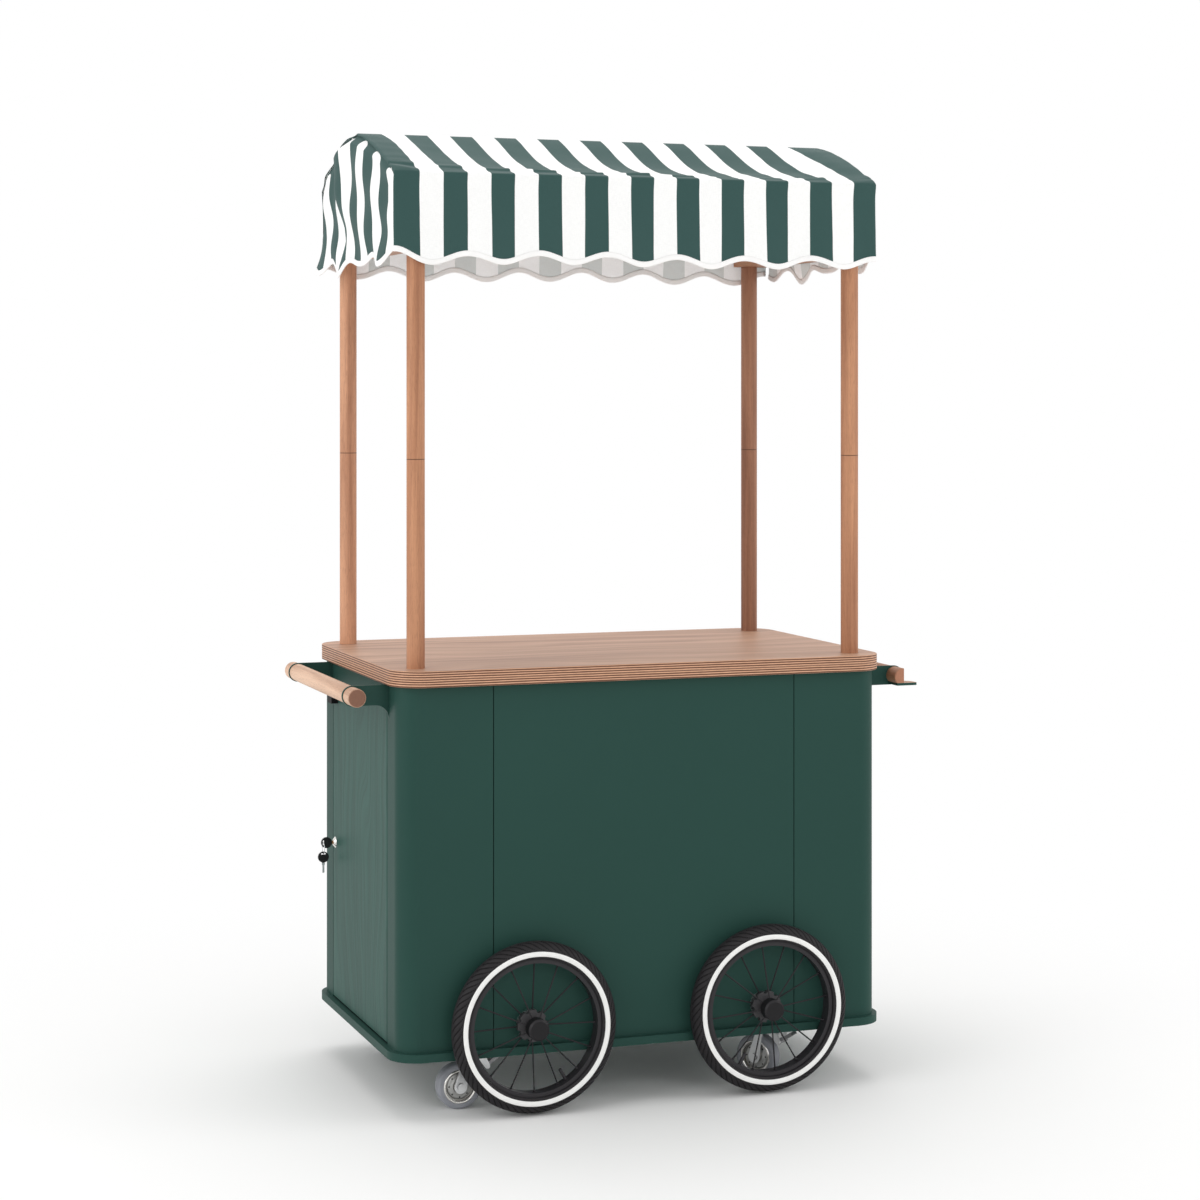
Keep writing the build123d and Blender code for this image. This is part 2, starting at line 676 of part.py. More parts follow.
tongue_y0 = -bar_y
tongue_y1 = -arm_y - ARM_THICKNESS / 2 - SEAT_GAP
tongue_low = bar_z - bar_r
tongue_high = tongue_low + TONGUE_THICKNESS
tongue_x0 = bar_x - TONGUE_ROOT
tongue = box(tongue_x0, tongue_x1, tongue_y0, tongue_y1, tongue_low, tongue_high)
tongue = fillet(tongue.edges().filter_by(Axis.Z).sort_by(Axis.X)[-2:].sort_by(Axis.Y)[-1], TONGUE_SWEEP_R)
tongue = fillet(tongue.edges().filter_by(Axis.Z).sort_by(Axis.Y)[:2].sort_by(Axis.X)[-1], TONGUE_CORNER_R)
notch = box(bar_x + BAR_FLAT_OFFSET, bar_x + 2 * bar_r, tongue_y0, tongue_y1, tongue_low, bar_z + 2 * bar_r)
notch += box(tongue_x0 - PIN_CLEARANCE, bar_x + 2 * bar_r, tongue_y0, tongue_y1,
             tongue_low - bar_r, tongue_high + PIN_CLEARANCE)
for end, sx in ENDS.items():
    add(end + "_handle_arms", *[handle_arm(sx, sy * arm_y) for sy in (-1, 1)])
add("left_handle_bar", handle_bar(-1))
add("right_handle_bar", handle_bar(1) - notch)
add("bar_tongue", tongue)


# Spoked front wheels, about the Y axis at their own centre
tyre_ring_r = WHEEL_R - TYRE_SECTION_R
hub_flange_y = HUB_FLANGE_OFFSET + HUB_FLANGE_THICKNESS / 2
hub_cap_y = -HUB_CAP_OFFSET - HUB_CAP_WALL


def disc(radius, y0, y1):
    """Disc about the Y axis."""
    return rod((0, y0, 0), (0, y1, 0), radius)


def polar(radius, angle, y):
    """Point at a radius and an angle about the Y axis."""
    return radius * cos(radians(angle)), y, radius * sin(radians(angle))


def tyre():
    """Hollow tyre, open towards the rim."""
    section = Circle(TYRE_SECTION_R) - Circle(TYRE_SECTION_R - TYRE_WALL)
    seat = Rectangle(2 * TYRE_SECTION_R, 4 * TYRE_SECTION_R)
    seat = Pos(RIM_R + SEAT_GAP - tyre_ring_r - TYRE_SECTION_R, 0) * seat
    return revolve(Pos(tyre_ring_r, 0) * (section - seat), Axis.Y)


def spoke_ends(index):
    """Inner and outer end of one spoke: spokes leave the flange and the cap by turns."""
    angle = 360 / SPOKES * index
    inner = index % 2 == 0
    grip_r = (HUB_FLANGE_R if inner else HUB_CAP_R) - SPOKE_GRIP
    start = polar(grip_r, angle, hub_flange_y if inner else hub_cap_y)
    return start, polar(RIM_INNER_R + RIM_WALL, angle, 0)


def spokes(radius):
    """All spokes of a wheel, at a radius."""
    return [rod(*spoke_ends(index), radius) for index in range(SPOKES)]


def rim(holes):
    """Channel rim with spoke holes."""
    half = RIM_WIDTH / 2
    body = disc(RIM_R, -half, half) - disc(RIM_INNER_R, -half, half)
    inner_half = half - RIM_WALL
    channel = disc(RIM_R, -inner_half, inner_half) - disc(RIM_INNER_R + RIM_WALL, -inner_half, inner_half)
    return body - channel - holes


def valve():
    """Tyre valve standing inwards from the rim."""
    outer = polar(RIM_INNER_R - SEAT_GAP, VALVE_ANGLE, 0)
    inner = polar(RIM_INNER_R - VALVE_LENGTH, VALVE_ANGLE, 0)
    return rod(outer, inner, VALVE_R)


def hub(holes):
    """Hub with a notched inner flange, a barrel and a closed outer cap."""
    flange_end = HUB_FLANGE_OFFSET + HUB_FLANGE_THICKNESS
    flange = disc(HUB_FLANGE_R, HUB_FLANGE_OFFSET, flange_end)
    for index in range(SPOKES // 2):
        place = polar(HUB_FLANGE_R, 720 / SPOKES * (index + 0.5), 0)
        flange -= Pos(place[0], 0, place[2]) * disc(HUB_NOTCH_R, HUB_FLANGE_OFFSET, flange_end)
    barrel = disc(HUB_BARREL_R, flange_end, -HUB_CAP_OFFSET)
    cap = disc(HUB_CAP_R, -HUB_CAP_OFFSET, -HUB_CAP_OFFSET - HUB_CAP_LENGTH)
    cap = chamfer(cap.edges().sort_by(Axis.Y)[0], HUB_CAP_CHAMFER)
    bore = disc(WHEEL_AXLE_R + PIN_CLEARANCE, flange_end, -HUB_CAP_OFFSET - HUB_CAP_LENGTH + HUB_CAP_WALL)
    return flange + barrel + cap - bore - holes


def stub_axle():
    """Axle with a flange against the front panel and a nut behind it."""
    panel_y = -front_y - wheel_y
    flange = disc(AXLE_FLANGE_R, panel_y, panel_y - AXLE_FLANGE_THICKNESS)
    shaft_end = -HUB_CAP_OFFSET - HUB_CAP_LENGTH + HUB_CAP_WALL + SEAT_GAP
    nut_y = panel_y + WALL
    shaft = disc(WHEEL_AXLE_R, shaft_end, nut_y + AXLE_NUT_THICKNESS)
    nut = Pos(0, nut_y, 0) * extrude(Plane.XZ * RegularPolygon(AXLE_NUT_R, 6), -AXLE_NUT_THICKNESS)
    return flange + shaft + nut


spoke_holes = spokes(SPOKE_R + PIN_CLEARANCE)
wheel_pieces = {
    "tyre": [tyre()],
    "rim": [rim(spoke_holes), valve()],
    "hub": [hub(spoke_holes), *spokes(SPOKE_R)],
}
for end, sx in ENDS.items():
    place = Pos(sx * wheel_x, wheel_y, wheel_z) * Rot(0, -WHEEL_TURN[end], 0)
    for piece, shapes in wheel_pieces.items():
        add(f"{end}_wheel_{piece}", *[place * shape for shape in shapes])
add("wheel_axles", *[Pos(sx * wheel_x, wheel_y, wheel_z) * stub_axle() for sx in ENDS.values()])


# Casters, about their swivel axis, with the wheel trailing along +X
fork_inner_y = CASTER_WIDTH / 2 + CASTER_SIDE_GAP
fork_outer_y = fork_inner_y + FORK_PLATE
pedal_x = -PEDAL_PIVOT_OUT
pedal_z = fork_top - PEDAL_PIVOT_DROP


def across(x, z, half, radius):
    """Round bar along Y, centred on the caster's middle plane."""
    return rod((x, -half, z), (x, half, z), radius)


def caster_tyre():
    """Soft tyre of a caster wheel."""
    half = CASTER_WIDTH / 2
    ring = across(CASTER_TRAIL, caster_r, half, caster_r)
    ring = fillet(ring.edges().filter_by(GeomType.CIRCLE), CASTER_TREAD_R)
    return ring - across(CASTER_TRAIL, caster_r, half, CASTER_CORE_R + PIN_CLEARANCE)


def caster_core():
    """Core of a caster wheel: rim, web and hub with the axle bore."""
    half = CASTER_WIDTH / 2
    body = across(CASTER_TRAIL, caster_r, half, CASTER_CORE_R)
    body -= across(CASTER_TRAIL, caster_r, half, CASTER_CORE_R - CASTER_CORE_RIM)
    body += across(CASTER_TRAIL, caster_r, CASTER_CORE_WEB / 2, CASTER_CORE_R - CASTER_CORE_RIM)
    body += across(CASTER_TRAIL, caster_r, fork_inner_y - SEAT_GAP, CASTER_HUB_R)
    return body - across(CASTER_TRAIL, caster_r, fork_outer_y, CASTER_AXLE_R + PIN_CLEARANCE)


def fork_side(braked):
    """Outlines on one side of a fork: the leg from the crown to the axle and, with a brake, the pin's ear."""
    leg = make_hull([
        Line((FORK_TRAIL - FORK_LEG_WIDTH, fork_top), (FORK_TRAIL, fork_top)),
        CenterArc((CASTER_TRAIL, caster_r), CASTER_HUB_R, 0, 360),
    ])
    if not braked:
        return [leg]
    ear = make_hull([
        Line((-FORK_LEAD, fork_top), (FORK_EAR_WIDTH - FORK_LEAD, fork_top)),
        CenterArc((pedal_x, pedal_z), PEDAL_EAR_R, 0, 360),
    ])
    return [leg, ear]


def caster_fork(braked):
    """Fork with its axle and, with a brake, the pedal's pin."""
    fork = box(-FORK_LEAD, FORK_TRAIL, -fork_outer_y, fork_outer_y, fork_low, fork_top)
    middle = fork_inner_y + FORK_PLATE / 2
    for outline in fork_side(braked):
        leg = extrude(Plane.XZ * outline, FORK_PLATE / 2, both=True)
        fork += [Pos(0, middle, 0) * leg, Pos(0, -middle, 0) * leg]
    fork -= rod((0, 0, fork_low), (0, 0, fork_top), KING_PIN_R + PIN_CLEARANCE)
    fork -= across(CASTER_TRAIL, caster_r, fork_outer_y, CASTER_AXLE_R + PIN_CLEARANCE)
    axle = across(CASTER_TRAIL, caster_r, fork_outer_y, CASTER_AXLE_R)
    for sy in (-1, 1):
        axle += rod((CASTER_TRAIL, sy * fork_outer_y, caster_r),
                    (CASTER_TRAIL, sy * (fork_outer_y + CASTER_AXLE_HEAD), caster_r), CASTER_AXLE_HEAD_R)
    if not braked:
        return [fork, axle]
    fork -= across(pedal_x, pedal_z, fork_outer_y, PEDAL_PIN_R + PIN_CLEARANCE)
    return [fork, axle, across(pedal_x, pedal_z, fork_outer_y, PEDAL_PIN_R)]


def brake_pedal():
    """Pedal on its pin, standing up and out from the caster."""
    half = PEDAL_WIDTH / 2
    tread = box(0, -PEDAL_LENGTH, -half, half, -PEDAL_THICKNESS / 2, PEDAL_THICKNESS / 2)
    pedal = Pos(pedal_x, 0, pedal_z) * Rot(0, PEDAL_SLOPE, 0) * tread
    pedal += across(pedal_x, pedal_z, fork_inner_y - SEAT_GAP, PEDAL_HUB_R)
    return pedal - across(pedal_x, pedal_z, fork_outer_y, PEDAL_PIN_R + PIN_CLEARANCE)


def caster_plate():
    """Top plate with screw holes, the swivel's housing and the king pin."""
    top = CASTER_HEIGHT
    low = top - CASTER_PLATE
    half_x = CASTER_PLATE_X / 2
    half_y = CASTER_PLATE_Y / 2
    top_plate = box(-half_x, half_x, -half_y, half_y, low, top)
    holes = [
        rod((x, y, low), (x, y, top), CASTER_SCREW_R + PIN_CLEARANCE)
        for x, y in corner_places(CASTER_SCREW_X / 2, CASTER_SCREW_Y / 2)
    ]
    housing = rod((0, 0, low - SWIVEL_HEIGHT), (0, 0, low), SWIVEL_R)
    pin_low = fork_low - SEAT_GAP
    pin = rod((0, 0, pin_low), (0, 0, low), KING_PIN_R)
    head = rod((0, 0, pin_low - KING_PIN_HEAD), (0, 0, pin_low), KING_PIN_HEAD_R)
    return top_plate - holes + housing + pin + head


def caster_screw(x, y):
    """Hexagon screw up through a caster plate into the plinth."""
    low = CASTER_HEIGHT - CASTER_PLATE
    shaft = rod((x, y, low), (x, y, CASTER_HEIGHT + CASTER_SCREW_LENGTH), CASTER_SCREW_R)
    head = extrude(RegularPolygon(CASTER_SCREW_HEAD_R, 6), CASTER_SCREW_HEAD)
    head = Pos(x, y, low - CASTER_SCREW_HEAD) * head
    return shaft + head


plates = []
for corner, (x, y) in zip(CORNERS, caster_places()):
    place = Pos(x, y, 0)
    turned = place * Rot(0, 0, CASTER_TURN[corner])
    braked = corner.startswith("front")
    plates.append(place * caster_plate())
    add(corner + "_caster_fork", *[turned * shape for shape in caster_fork(braked)])
    add(corner + "_caster_tyre", turned * caster_tyre())
    add(corner + "_caster_core", turned * caster_core())
    if braked:
        add(corner + "_brake_pedal", turned * brake_pedal())
add("caster_plates", *plates)
add("caster_screws", *[caster_screw(x, y) for x, y in caster_screw_places()])

os.makedirs("parts", exist_ok=True)
for name, shape in nodes.items():
    export_step(Pos(origin_shift_x, origin_shift_y, 0) * shape, f"parts/{name}.step")
print(len(nodes), "nodes; the counter's middle lies at", round(origin_shift_x, 3), round(origin_shift_y, 3))
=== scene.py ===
"""Looks of a mobile event cart: paint, stained wood, striped canvas, tyres and casters around its solids."""

import json
import logging
import math
from dataclasses import dataclass
from enum import Enum
from typing import Callable, ClassVar, Iterator, Sequence

import bpy
import numpy as np
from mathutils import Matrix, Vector, noise


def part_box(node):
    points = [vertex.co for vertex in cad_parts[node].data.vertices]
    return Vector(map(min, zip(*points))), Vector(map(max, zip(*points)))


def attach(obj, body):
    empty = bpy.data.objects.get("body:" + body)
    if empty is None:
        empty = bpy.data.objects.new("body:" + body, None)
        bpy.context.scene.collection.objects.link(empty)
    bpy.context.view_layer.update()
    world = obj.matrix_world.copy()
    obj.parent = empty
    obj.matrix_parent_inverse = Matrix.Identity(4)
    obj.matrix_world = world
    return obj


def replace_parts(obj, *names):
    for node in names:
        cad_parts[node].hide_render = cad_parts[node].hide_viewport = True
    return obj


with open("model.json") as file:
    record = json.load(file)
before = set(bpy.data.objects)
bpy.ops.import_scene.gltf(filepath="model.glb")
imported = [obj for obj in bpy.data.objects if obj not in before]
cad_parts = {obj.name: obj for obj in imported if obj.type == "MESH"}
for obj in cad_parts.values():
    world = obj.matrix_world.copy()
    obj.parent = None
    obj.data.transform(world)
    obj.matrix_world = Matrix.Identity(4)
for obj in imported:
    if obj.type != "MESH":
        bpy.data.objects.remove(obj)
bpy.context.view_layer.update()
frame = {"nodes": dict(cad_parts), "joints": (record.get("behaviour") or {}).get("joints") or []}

log = logging.getLogger("event_cart")

MM = 0.001
TURN = 2 * math.pi
WHITE = (1.0, 1.0, 1.0)

Array = np.ndarray
Face = bpy.types.MeshPolygon
Material = bpy.types.Material
Piece = bpy.types.Object
Socket = bpy.types.NodeSocket
Colour = tuple[float, float, float]
Value = float | Colour | Socket
Row = tuple[Array, Array, float, float]


class Along(Enum):
    """Axis that a grain runs along."""

    X = 0
    Y = 1
    Z = 2


class Side(Enum):
    """End of the cart, as a sign along X."""

    LEFT = -1
    RIGHT = 1


class Corner(Enum):
    """Corner of the cart that has a caster."""

    FRONT_LEFT = "front_left"
    FRONT_RIGHT = "front_right"
    REAR_LEFT = "rear_left"
    REAR_RIGHT = "rear_right"


def srgb(red: int, green: int, blue: int) -> Colour:
    """Linear colour of an eight-bit screen colour."""
    shares = (channel / 255 for channel in (red, green, blue))
    return tuple(c / 12.92 if c <= 0.04045 else ((c + 0.055) / 1.055) ** 2.4 for c in shares)


def smooth(low: float, high: float, value: Array | float) -> Array | float:
    """Smooth step from 0 at low to 1 at high."""
    share = np.clip((value - low) / (high - low), 0, 1)
    return share * share * (3 - 2 * share)


def hump(middle: float, width: float, value: Array) -> Array:
    """Round hump of height 1 about a middle."""
    return np.exp(-((value - middle) / width) ** 2)


def circle(count: int) -> Array:
    """Angles of equal steps round a circle."""
    return np.linspace(0, TURN, count, endpoint=False)


# Finishes


class Nodes:
    """Nodes of a material or of the surroundings."""

    def __init__(self, tree: bpy.types.NodeTree) -> None:
        """Keep the tree that takes the nodes."""
        self.tree = tree

    def node(self, kind: str, inputs: dict[str | int, Value], output: str | int = 0,
             **settings: object) -> Socket:
        """Add a node.

        Args:
            kind: Blender's name for the node type.
            inputs: Value or socket for each input, by name or number.
            output: Output to return.
            settings: Attributes of the node.

        Returns:
            The chosen output socket.
        """
        made = self.tree.nodes.new(kind)
        for key, value in settings.items():
            setattr(made, key, value)
        for key, value in inputs.items():
            self.feed(made.inputs[key], value)
        return made.outputs[output]

    def feed(self, socket: Socket, value: Value) -> None:
        """Link a socket, or set its plain value.

        Args:
            socket: Input of a node.
            value: Output of another node, or a number or colour.
        """
        if isinstance(value, Socket):
            self.tree.links.new(value, socket)
        elif isinstance(value, tuple) and len(value) == 3 and socket.type == "RGBA":
            socket.default_value = (*value, 1.0)
        else:
            socket.default_value = value

    def math(self, operation: str, a: Value, b: Value = 0.0) -> Socket:
        """Sum of two numbers, or another operation on them."""
        return self.node("ShaderNodeMath", {0: a, 1: b}, operation=operation)

    def apart(self, a: Value, b: Value) -> Socket:
        """Distance between two numbers."""
        return self.math("ABSOLUTE", self.math("SUBTRACT", a, b))

    def between(self, share: Socket, low: float, high: float) -> Socket:
        """Number from low to high for a share from 0 to 1."""
        return self.node("ShaderNodeMapRange", {0: share, 3: low, 4: high})

    def plain_rays(self) -> Socket:
        """Pick the rays to which the surroundings are plain white.

        Returns:
            Number that is 1 for rays of the camera, of reflections and through glass, and otherwise 0.
        """
        rays = self.tree.nodes.new("ShaderNodeLightPath").outputs
        direct = self.math("MAXIMUM", rays["Is Camera Ray"], rays["Is Glossy Ray"])
        return self.math("MAXIMUM", direct, rays["Is Transmission Ray"])


class Shader(Nodes):
    """One principled material and the few nodes that its finish needs."""

    def __init__(self, name: str) -> None:
        """Start a material with an empty principled surface.

        Args:
            name: Name of the material.
        """
        self.material = bpy.data.materials.new(name)
        self.material.use_nodes = True
        super().__init__(self.material.node_tree)
        self.surface = self.tree.nodes["Principled BSDF"]

    def set(self, **values: Value) -> None:
        """Set inputs of the surface, with underscores for spaces."""
        for key, value in values.items():
            self.feed(self.surface.inputs[key.replace("_", " ")], value)

    def place(self) -> Socket:
        """Place on the piece, in metres in the cart's frame at rest."""
        return self.node("ShaderNodeTexCoord", {}, "Object")

    def cloth_place(self) -> Socket:
        """Place on flat cloth: stripes across and metres along."""
        return self.node("ShaderNodeTexCoord", {}, "UV")

    def normal(self) -> Socket:
        """Direction that the surface faces."""
        return self.node("ShaderNodeNewGeometry", {}, "Normal")

    def parts(self, vector: Socket) -> list[Socket]:
        """The three numbers of a vector."""
        return list(self.node("ShaderNodeSeparateXYZ", {0: vector}).node.outputs)

    def vector(self, x: Value, y: Value, z: Value) -> Socket:
        """Vector of three numbers."""
        return self.node("ShaderNodeCombineXYZ", {0: x, 1: y, 2: z})

    def noise(self, vector: Socket, scale: float, detail: float = 2.0, rough: float = 0.5,
              warp: float = 0.0) -> Socket:
        """Cloudy number between 0 and 1."""
        return self.node("ShaderNodeTexNoise", {
            "Vector": vector, "Scale": scale, "Detail": detail, "Roughness": rough, "Distortion": warp})

    def grain(self, vector: Socket, scale: Sequence[float], detail: float = 2.0, rough: float = 0.5,
              warp: float = 0.0) -> Socket:
        """Cloudy number with a scale of its own along each axis."""
        stretched = self.node("ShaderNodeMapping", {"Vector": vector, "Scale": tuple(scale)})
        return self.noise(stretched, 1.0, detail, rough, warp)

    def ramp(self, share: Socket, *stops: tuple[float, Colour]) -> Socket:
        """Pick a colour by a number.

        Args:
            share: Number between 0 and 1.
            stops: Number and colour of each stop, in rising order.

        Returns:
            The colour.
        """
        colour = self.node("ShaderNodeValToRGB", {0: share})
        elements = colour.node.color_ramp.elements
        while len(elements) < len(stops):
            elements.new(0.5)
        for element, (position, stop) in zip(elements, stops):
            element.position = position
            element.color = (*stop, 1.0)
        return colour

    def step(self, value: Socket, low: float, high: float) -> Socket:
        """Smooth step of a number."""
        return self.node("ShaderNodeMapRange", {0: value, 1: low, 2: high}, interpolation_type="SMOOTHSTEP")

    def mix(self, share: Value, first: Value, second: Value, blend: str = "MIX") -> Socket:
        """Colour between two colours."""
        inputs = {0: share, 6: first, 7: second}
        return self.node("ShaderNodeMix", inputs, 2, data_type="RGBA", blend_type=blend)

    def shade(self, colour: Value, share: Socket, low: float, high: float) -> Socket:
        """Colour times a number from low to high, for a share from 0 to 1."""
        grey = self.ramp(share, (0.0, (low,) * 3), (1.0, (high,) * 3))
        return self.mix(1.0, colour, grey, "MULTIPLY")

    def bent(self, vector: Socket, scale: Sequence[float], across: Along, reach: float) -> Socket:
        """Push a place to and fro across the grain, so that lines wander.

        Args:
            vector: Place on the piece.
            scale: Scale of the wandering along each axis.
            across: Axis of the push.
            reach: Length of the push.

        Returns:
            The pushed place.
        """
        push: list[Value] = [0.0, 0.0, 0.0]
        push[across.value] = self.math("MULTIPLY", self.grain(vector, scale), reach)
        return self.node("ShaderNodeVectorMath", {0: vector, 1: self.vector(*push)})

    def bump(self, height: Socket, depth: float) -> None:
        """Give the surface a relief of a depth in metres."""
        self.set(Normal=self.node("ShaderNodeBump", {"Height": height, "Distance": depth, "Strength": 1.0}))


@dataclass(frozen=True)
class Patch:
    """Upright block, seen from above, by its middle and its half size."""

    middle: tuple[float, float]
    half: tuple[float, float]


@dataclass(frozen=True)
class GreenPaint:
    """Satin green paint, with the wood's grain where it is thin and painted shade where a door covers it,
    standing in for the shadow in the gap under the door.
    """

    name: str
    colour: Colour = srgb(37, 69, 62)
    # Painted shade: dark green for the board under a door, standing in for the shadow in the gap.
    gap_shade: Colour = srgb(9, 20, 18)
    grain: float = 0.0
    roughness: float = 0.5
    gloss: float = 0.13
    covered: Patch | None = None
    cover_inset: float = 0.8 * MM
    roller_depth: float = 0.06 * MM
    grain_depth: float = 0.25 * MM

    def make(self) -> Material:
        """Build the paint.

        Returns:
            The material.
        """
        shader = Shader(self.name)
        place = shader.place()
        colour = shader.shade(self.colour, shader.noise(place, scale=2.4, detail=3.0), low=0.93, high=1.07)
        # Painted shade on the covered part, for the shadowed gap under the door.
        if self.covered:
            colour = shader.mix(self.under_door(shader, place), colour, self.gap_shade)
        roller = shader.noise(place, scale=420.0)
        height, depth = roller, self.roller_depth
        if self.grain:
            height, depth = self.figure(shader, place), self.grain_depth * self.grain
            colour = shader.shade(colour, height, low=1.0 - 0.15 * self.grain, high=1.0 + 0.13 * self.grain)
        rough = shader.between(roller, self.roughness - 0.05, self.roughness + 0.07)
        shader.set(Base_Color=colour, Roughness=rough, Specular_IOR_Level=self.gloss)
        shader.bump(height, depth)
        return shader.material

    def under_door(self, shader: Shader, place: Socket) -> Socket:
        """Part of a board under a door, where painted shade stands in for the shadow in the gap.

        Args:
            shader: Material that is being built.
            place: Place on the piece.

        Returns:
            Number that is 1 on the covered part and 0 outside it.
        """
        past = [shader.math("SUBTRACT", shader.apart(part, middle), half)
                for part, middle, half in zip(shader.parts(place), self.covered.middle, self.covered.half)]
        return shader.math("LESS_THAN", shader.math("MAXIMUM", *past), -self.cover_inset)

    @staticmethod
    def figure(shader: Shader, place: Socket) -> Socket:
        """Grain of an upright veneer: arched figure and fine fibres.

        Args:
            shader: Material that is being built.
            place: Place on the piece.

        Returns:
            Number between 0 in the dark lines and 1 in the light ones.
        """
        bent = shader.bent(place, scale=(2.0, 2.6, 1.3), across=Along.Y, reach=0.34)
        arches = shader.grain(bent, scale=(6.0, 17.0, 0.8), detail=3.0, rough=0.55, warp=0.8)
        bands = shader.math("PINGPONG", shader.math("MULTIPLY", arches, 9.0), 1.0)
        fibre = shader.grain(bent, scale=(60.0, 150.0, 3.4), detail=4.0, rough=0.62)
        streak = shader.math("ADD", shader.math("MULTIPLY", bands, 0.3), shader.math("MULTIPLY", fibre, 0.7))
        return shader.step(streak, 0.25, 0.75)


@dataclass(frozen=True)
class StainedPly:
    """Brown stained birch plywood: long figure on the faces and thin plies along the edges."""

    name: str
    level: float
    light: Colour = srgb(201, 160, 133)
    middle: Colour = srgb(178, 138, 113)
    dark: Colour = srgb(144, 106, 84)
    seam: Colour = srgb(70, 42, 28)
    plies: int = 7
    board: float = 18 * MM
    relief: float = 0.18 * MM

    def make(self) -> Material:
        """Build the plywood.

        Returns:
            The material.
        """
        shader = Shader(self.name)
        place = shader.place()
        up = shader.math("ABSOLUTE", shader.parts(shader.normal())[Along.Z.value])
        top, fibre = self.face(shader, place)
        colour = shader.mix(shader.step(up, 0.5, 0.8), self.edge(shader, place), top)
        shader.set(Base_Color=colour, Roughness=shader.between(fibre, 0.4, 0.54), Specular_IOR_Level=0.3)
        shader.bump(fibre, self.relief)
        return shader.material

    def face(self, shader: Shader, place: Socket) -> tuple[Socket, Socket]:
        """Figure of a face veneer that runs along X.

        Args:
            shader: Material that is being built.
            place: Place on the piece.

        Returns:
            The colour, and the fibres.
        """
        bent = shader.bent(place, scale=(1.3, 3.6, 1.0), across=Along.Y, reach=0.3)
        figure = shader.grain(bent, scale=(1.2, 20.0, 1.0), detail=4.0, rough=0.58, warp=0.4)
        fibre = shader.grain(bent, scale=(7.0, 320.0, 40.0), detail=3.0, rough=0.6)
        colour = shader.ramp(figure, (0.25, self.dark), (0.47, self.middle), (0.7, self.light))
        return shader.shade(colour, fibre, low=0.86, high=1.12), fibre

    def edge(self, shader: Shader, place: Socket) -> Socket:
        """Plies along a board's edge: dark end grain in every other one, and glue lines between them.

        Args:
            shader: Material that is being built.
            place: Place on the piece.

        Returns:
            The colour.
        """
        wander = shader.grain(place, scale=(9.0, 9.0, 60.0), detail=4.0, rough=0.6)
        depth = shader.math("SUBTRACT", self.level, shader.parts(place)[Along.Z.value])
        ply = shader.math("MULTIPLY", depth, self.plies / self.board / 2)
        share = shader.math("FRACT", shader.math("ADD", ply, shader.math("MULTIPLY", wander, 0.3)))
        plies = shader.ramp(share, (0.0, srgb(74, 44, 30)), (0.06, srgb(238, 186, 152)),
                            (0.46, srgb(224, 172, 138)), (0.51, srgb(64, 38, 26)), (0.6, srgb(116, 74, 52)),
                            (0.95, srgb(102, 62, 44)))
        speck = shader.grain(place, scale=(60.0, 60.0, 420.0), detail=4.0, rough=0.7)
        off_seam = shader.step(shader.apart(depth, self.board), 0.3 * MM, 1.0 * MM)
        return shader.mix(off_seam, self.seam, shader.shade(plies, speck, low=0.5, high=1.13))


@dataclass(frozen=True)
class StainedWood:
    """Solid wood with its grain along one axis: broad figure, fine fibres, dark pores and sawn ends."""

    name: str
    along: Along
    light: Colour
    dark: Colour
    end: Colour
    joint: float | None = None
    seam: Colour = srgb(74, 44, 30)
    relief: float = 0.14 * MM

    def make(self) -> Material:
        """Build the wood.

        Returns:
            The material.
        """
        shader = Shader(self.name)
        place = shader.place()
        figure = shader.grain(place, self.scale(34.0, 1.7), detail=4.0, rough=0.6, warp=0.7)
        fibre = shader.grain(place, self.scale(420.0, 9.0), detail=4.0, rough=0.66)
        pore = shader.step(shader.grain(place, self.scale(1300.0, 58.0), detail=1.0), 0.55, 0.68)
        colour = shader.ramp(figure, (0.3, self.dark), (0.68, self.light))
        colour = shader.shade(colour, fibre, low=0.84, high=1.12)
        colour = shader.shade(colour, shader.math("SUBTRACT", 1.0, pore), low=0.82, high=1.02)
        facing = shader.math("ABSOLUTE", shader.parts(shader.normal())[self.along.value])
        rings = shader.grain(place, self.scale(260.0, 1.0), detail=3.0, rough=0.6, warp=1.2)
        sawn = shader.shade(self.end, rings, low=0.8, high=1.2)
        colour = shader.mix(shader.step(facing, 0.6, 0.85), colour, sawn)
        if self.joint is not None:
            away = shader.apart(shader.parts(place)[Along.Z.value], self.joint)
            colour = shader.mix(shader.step(away, 0.4 * MM, 1.2 * MM), self.seam, colour)
        shader.set(Base_Color=colour, Roughness=0.52, Specular_IOR_Level=0.3)
        shader.bump(fibre, self.relief)
        return shader.material

    def scale(self, across: float, lengthwise: float) -> list[float]:
        """Scale for each axis, from one number across the grain and another along it."""
        return [lengthwise if axis is self.along else across for axis in Along]


